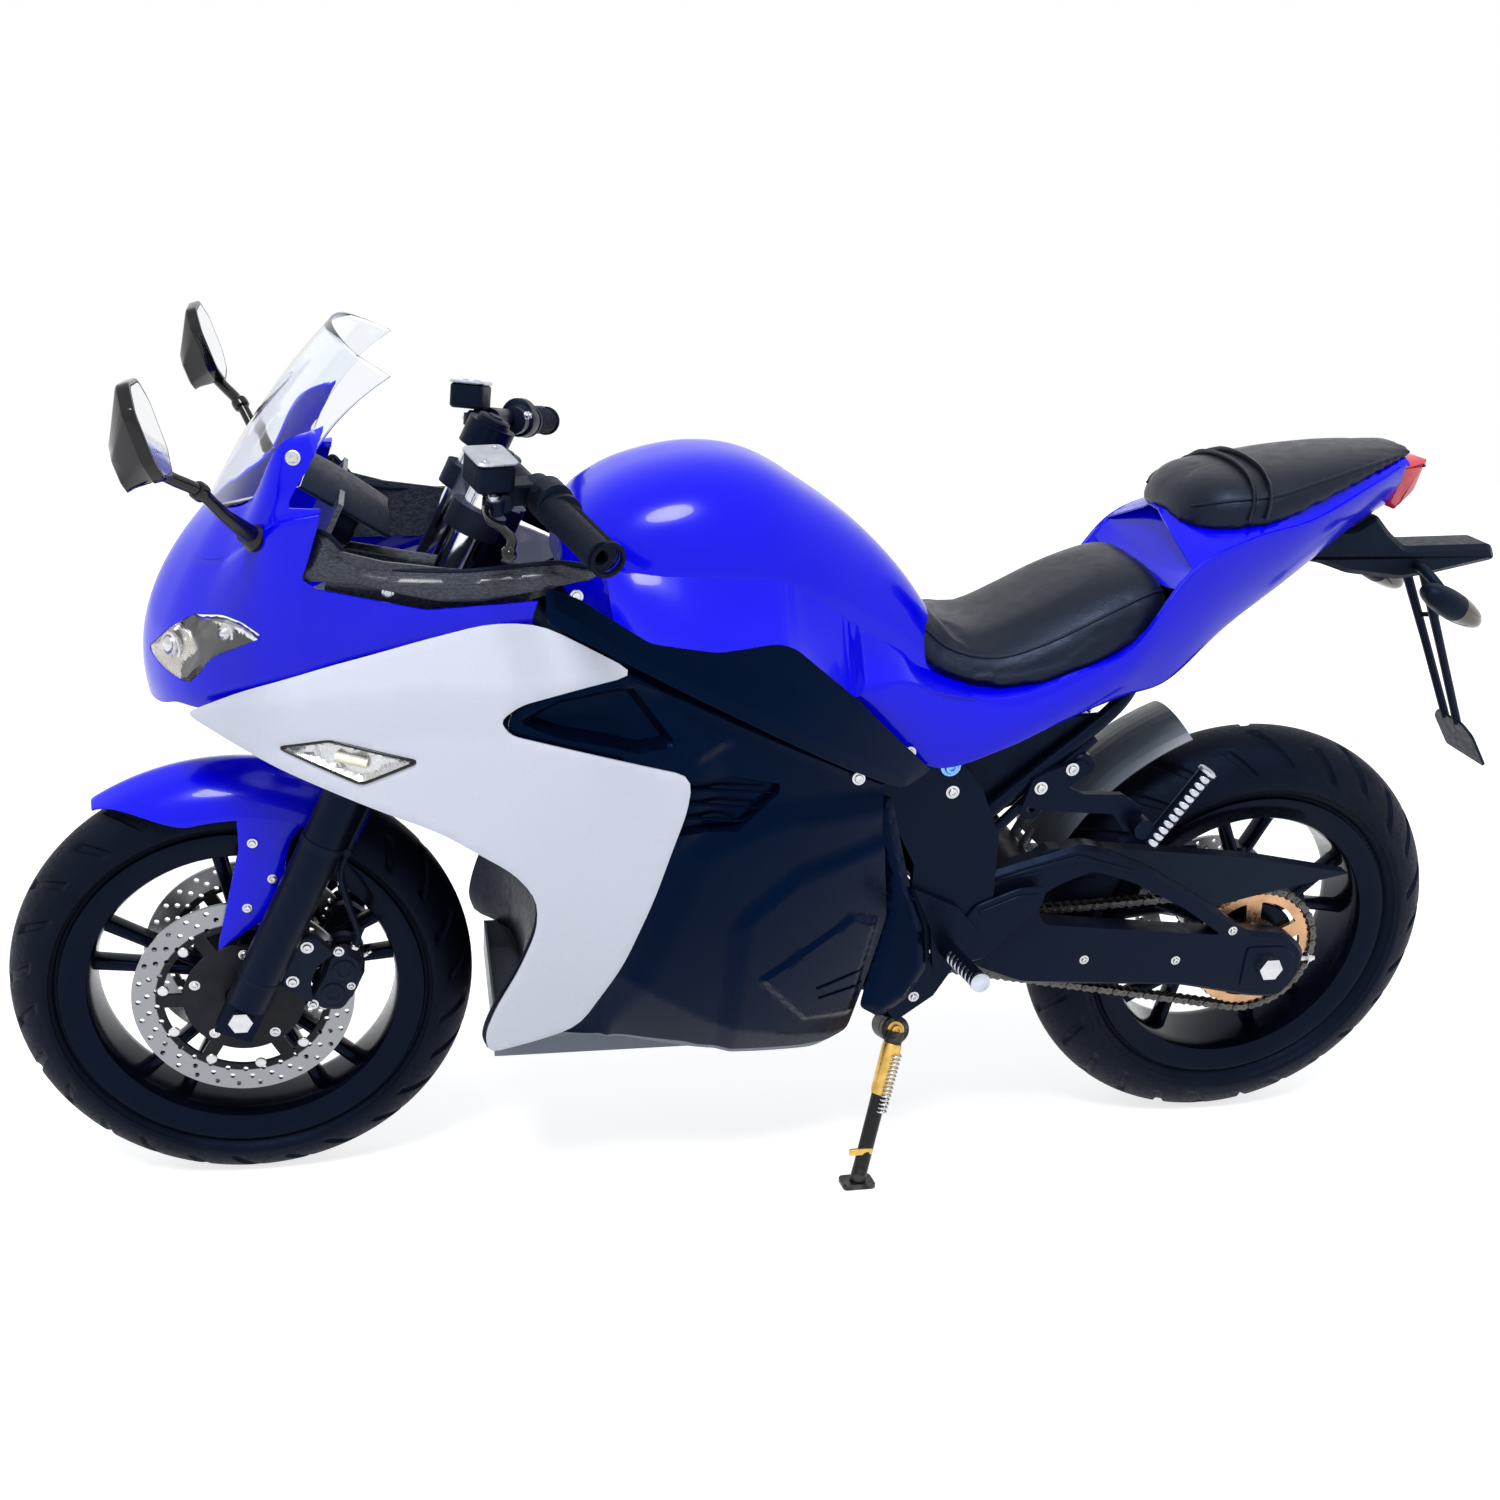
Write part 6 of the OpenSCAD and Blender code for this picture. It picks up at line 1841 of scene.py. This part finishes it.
# Seat subframe
def make_subframe():
    form = Form()
    low, mid, top = (-176, 121.7, 644), (-480, 86, 790), (-740, 46, 975)
    for path, r in (([low, mid, top], 12),
                    ([(-214, 130, 532), (-300, 128, 612), (-404, 121, 702), (-440, 104, 742)], 10.5),
                    ([(-250, 130, 526), (-352, 128, 636), (-386, 124, 668)], 7.5)):
        pts = smooth_path([Vector(q) for q in path], 40) if len(path) > 3 else path
        form.tube(pts, [r] * len(pts), 18)
    for at in ((-370, 134, 634), (-305, 134, 574)):
        form.lathe([(6, -6), (14, -6), (16, -4), (16, 4), (14, 6), (6, 6)], at, (0, 1, 0), 28, closed=True)
    gusset = fillet([(-150, 600), (-168, 640), (-222, 655), (-330, 694), (-398, 700), (-372, 676),
                     (-300, 612), (-236, 552), (-205, 545)], 8, 3)
    form.plate(gusset, 112, 118, 1.5)
    form.twin()
    for x, half, z in ((-300, 108, 698), (-480, 86, 790), (-600, 66, 875.4), (-735, 46, 971)):
        form.tube([(x, -half, z), (x, half, z)], 9, 16)
    form.make("subframe_tubes", PAINT, slot="frame_black", over="subframe", smooth=40)


make_subframe()


# Rear sprocket and heel guards
def make_sprocket():
    tip, teeth, steps, arms = 92.0, 48, 8, 5
    outline = []
    for k in range(teeth * steps):
        a = 2 * math.pi * k / (teeth * steps)
        r = tip - 1.2 * (1 - math.cos(teeth * a))
        outline.append((RX + r * math.cos(a), RZ + r * math.sin(a)))
    disc = Form().plate(outline, 82.6, 89.4, 0.8)
    obj = disc.make("sprocket_ring", BRONZE, "rear_wheel", "sprocket_bronze", over="rear_sprocket", smooth=35)
    tool = Form().lathe([(0.05, 78), (28.5, 78), (28.5, 94), (0.05, 94)], (RX, 0, RZ), n=48)
    for arm in range(arms):
        base = math.radians(72 * arm + 20)
        arc = [base + math.radians(54) * k / 12 for k in range(13)]
        window = [(RX + 77 * math.cos(a), RZ + 77 * math.sin(a)) for a in arc]
        window += [(RX + 47 * math.cos(a), RZ + 47 * math.sin(a)) for a in reversed(arc[1:-1])]
        tool.plate(fillet(window, 4, 3), 78, 94, 0.01)
    cut(obj, tool, 35)
    bolts = Form()
    for arm in range(arms):
        a = math.radians(72 * arm + 11)
        bolts.bolt((RX + 38 * math.cos(a), 89.4, RZ + 38 * math.sin(a)), (0, 1, 0), 4.2, 3.4)
    bolts.make("sprocket_bolts", STEEL, "rear_wheel", "bolt_steel", smooth=40)


make_sprocket()


def make_heel_guards():
    form = Form()
    guard = [(-206, 366), (-226, 414), (-242, 438), (-300, 462), (-341, 464), (-336, 430), (-300, 396),
             (-264, 356), (-232, 350)]
    form.plate(fillet(guard, 8, 3), 147.8, 152.5, 1.6)
    rim = fillet([(-246, 430), (-300, 452), (-330, 454), (-328, 447), (-300, 444), (-250, 424)], 3, 2)
    form.plate(rim, 152.2, 154.6, 1)
    form.twin().make("heel_guards", PAINT, slot="frame_black", smooth=35)


make_heel_guards()


# Materials of the solids that stay
KEPT = {
    "frame": PAINT, "battery_pack": CASE, "motor": CASTING, "rear_shock": SPRING,
    "chain_guard": PLASTIC, "hugger": HUGGER, "rear_axle": STEEL, "rear_caliper": CASTING,
    "cockpit_trim": CARBON, "belly_pan": HUGGER, "rider_pegs": PAINT, "passenger_pegs": PAINT,
    "fork_sliders": PAINT, "fork_tubes": CHROME, "yokes": CASTING, "handlebars": PAINT, "grips": GRIP,
    "front_axle": STEEL, "front_discs": FRONT_DISC, "rear_disc": REAR_DISC}
for node, mat in KEPT.items():
    obj = NODES[node]
    obj.data.materials.clear()
    obj.data.materials.append(mat)
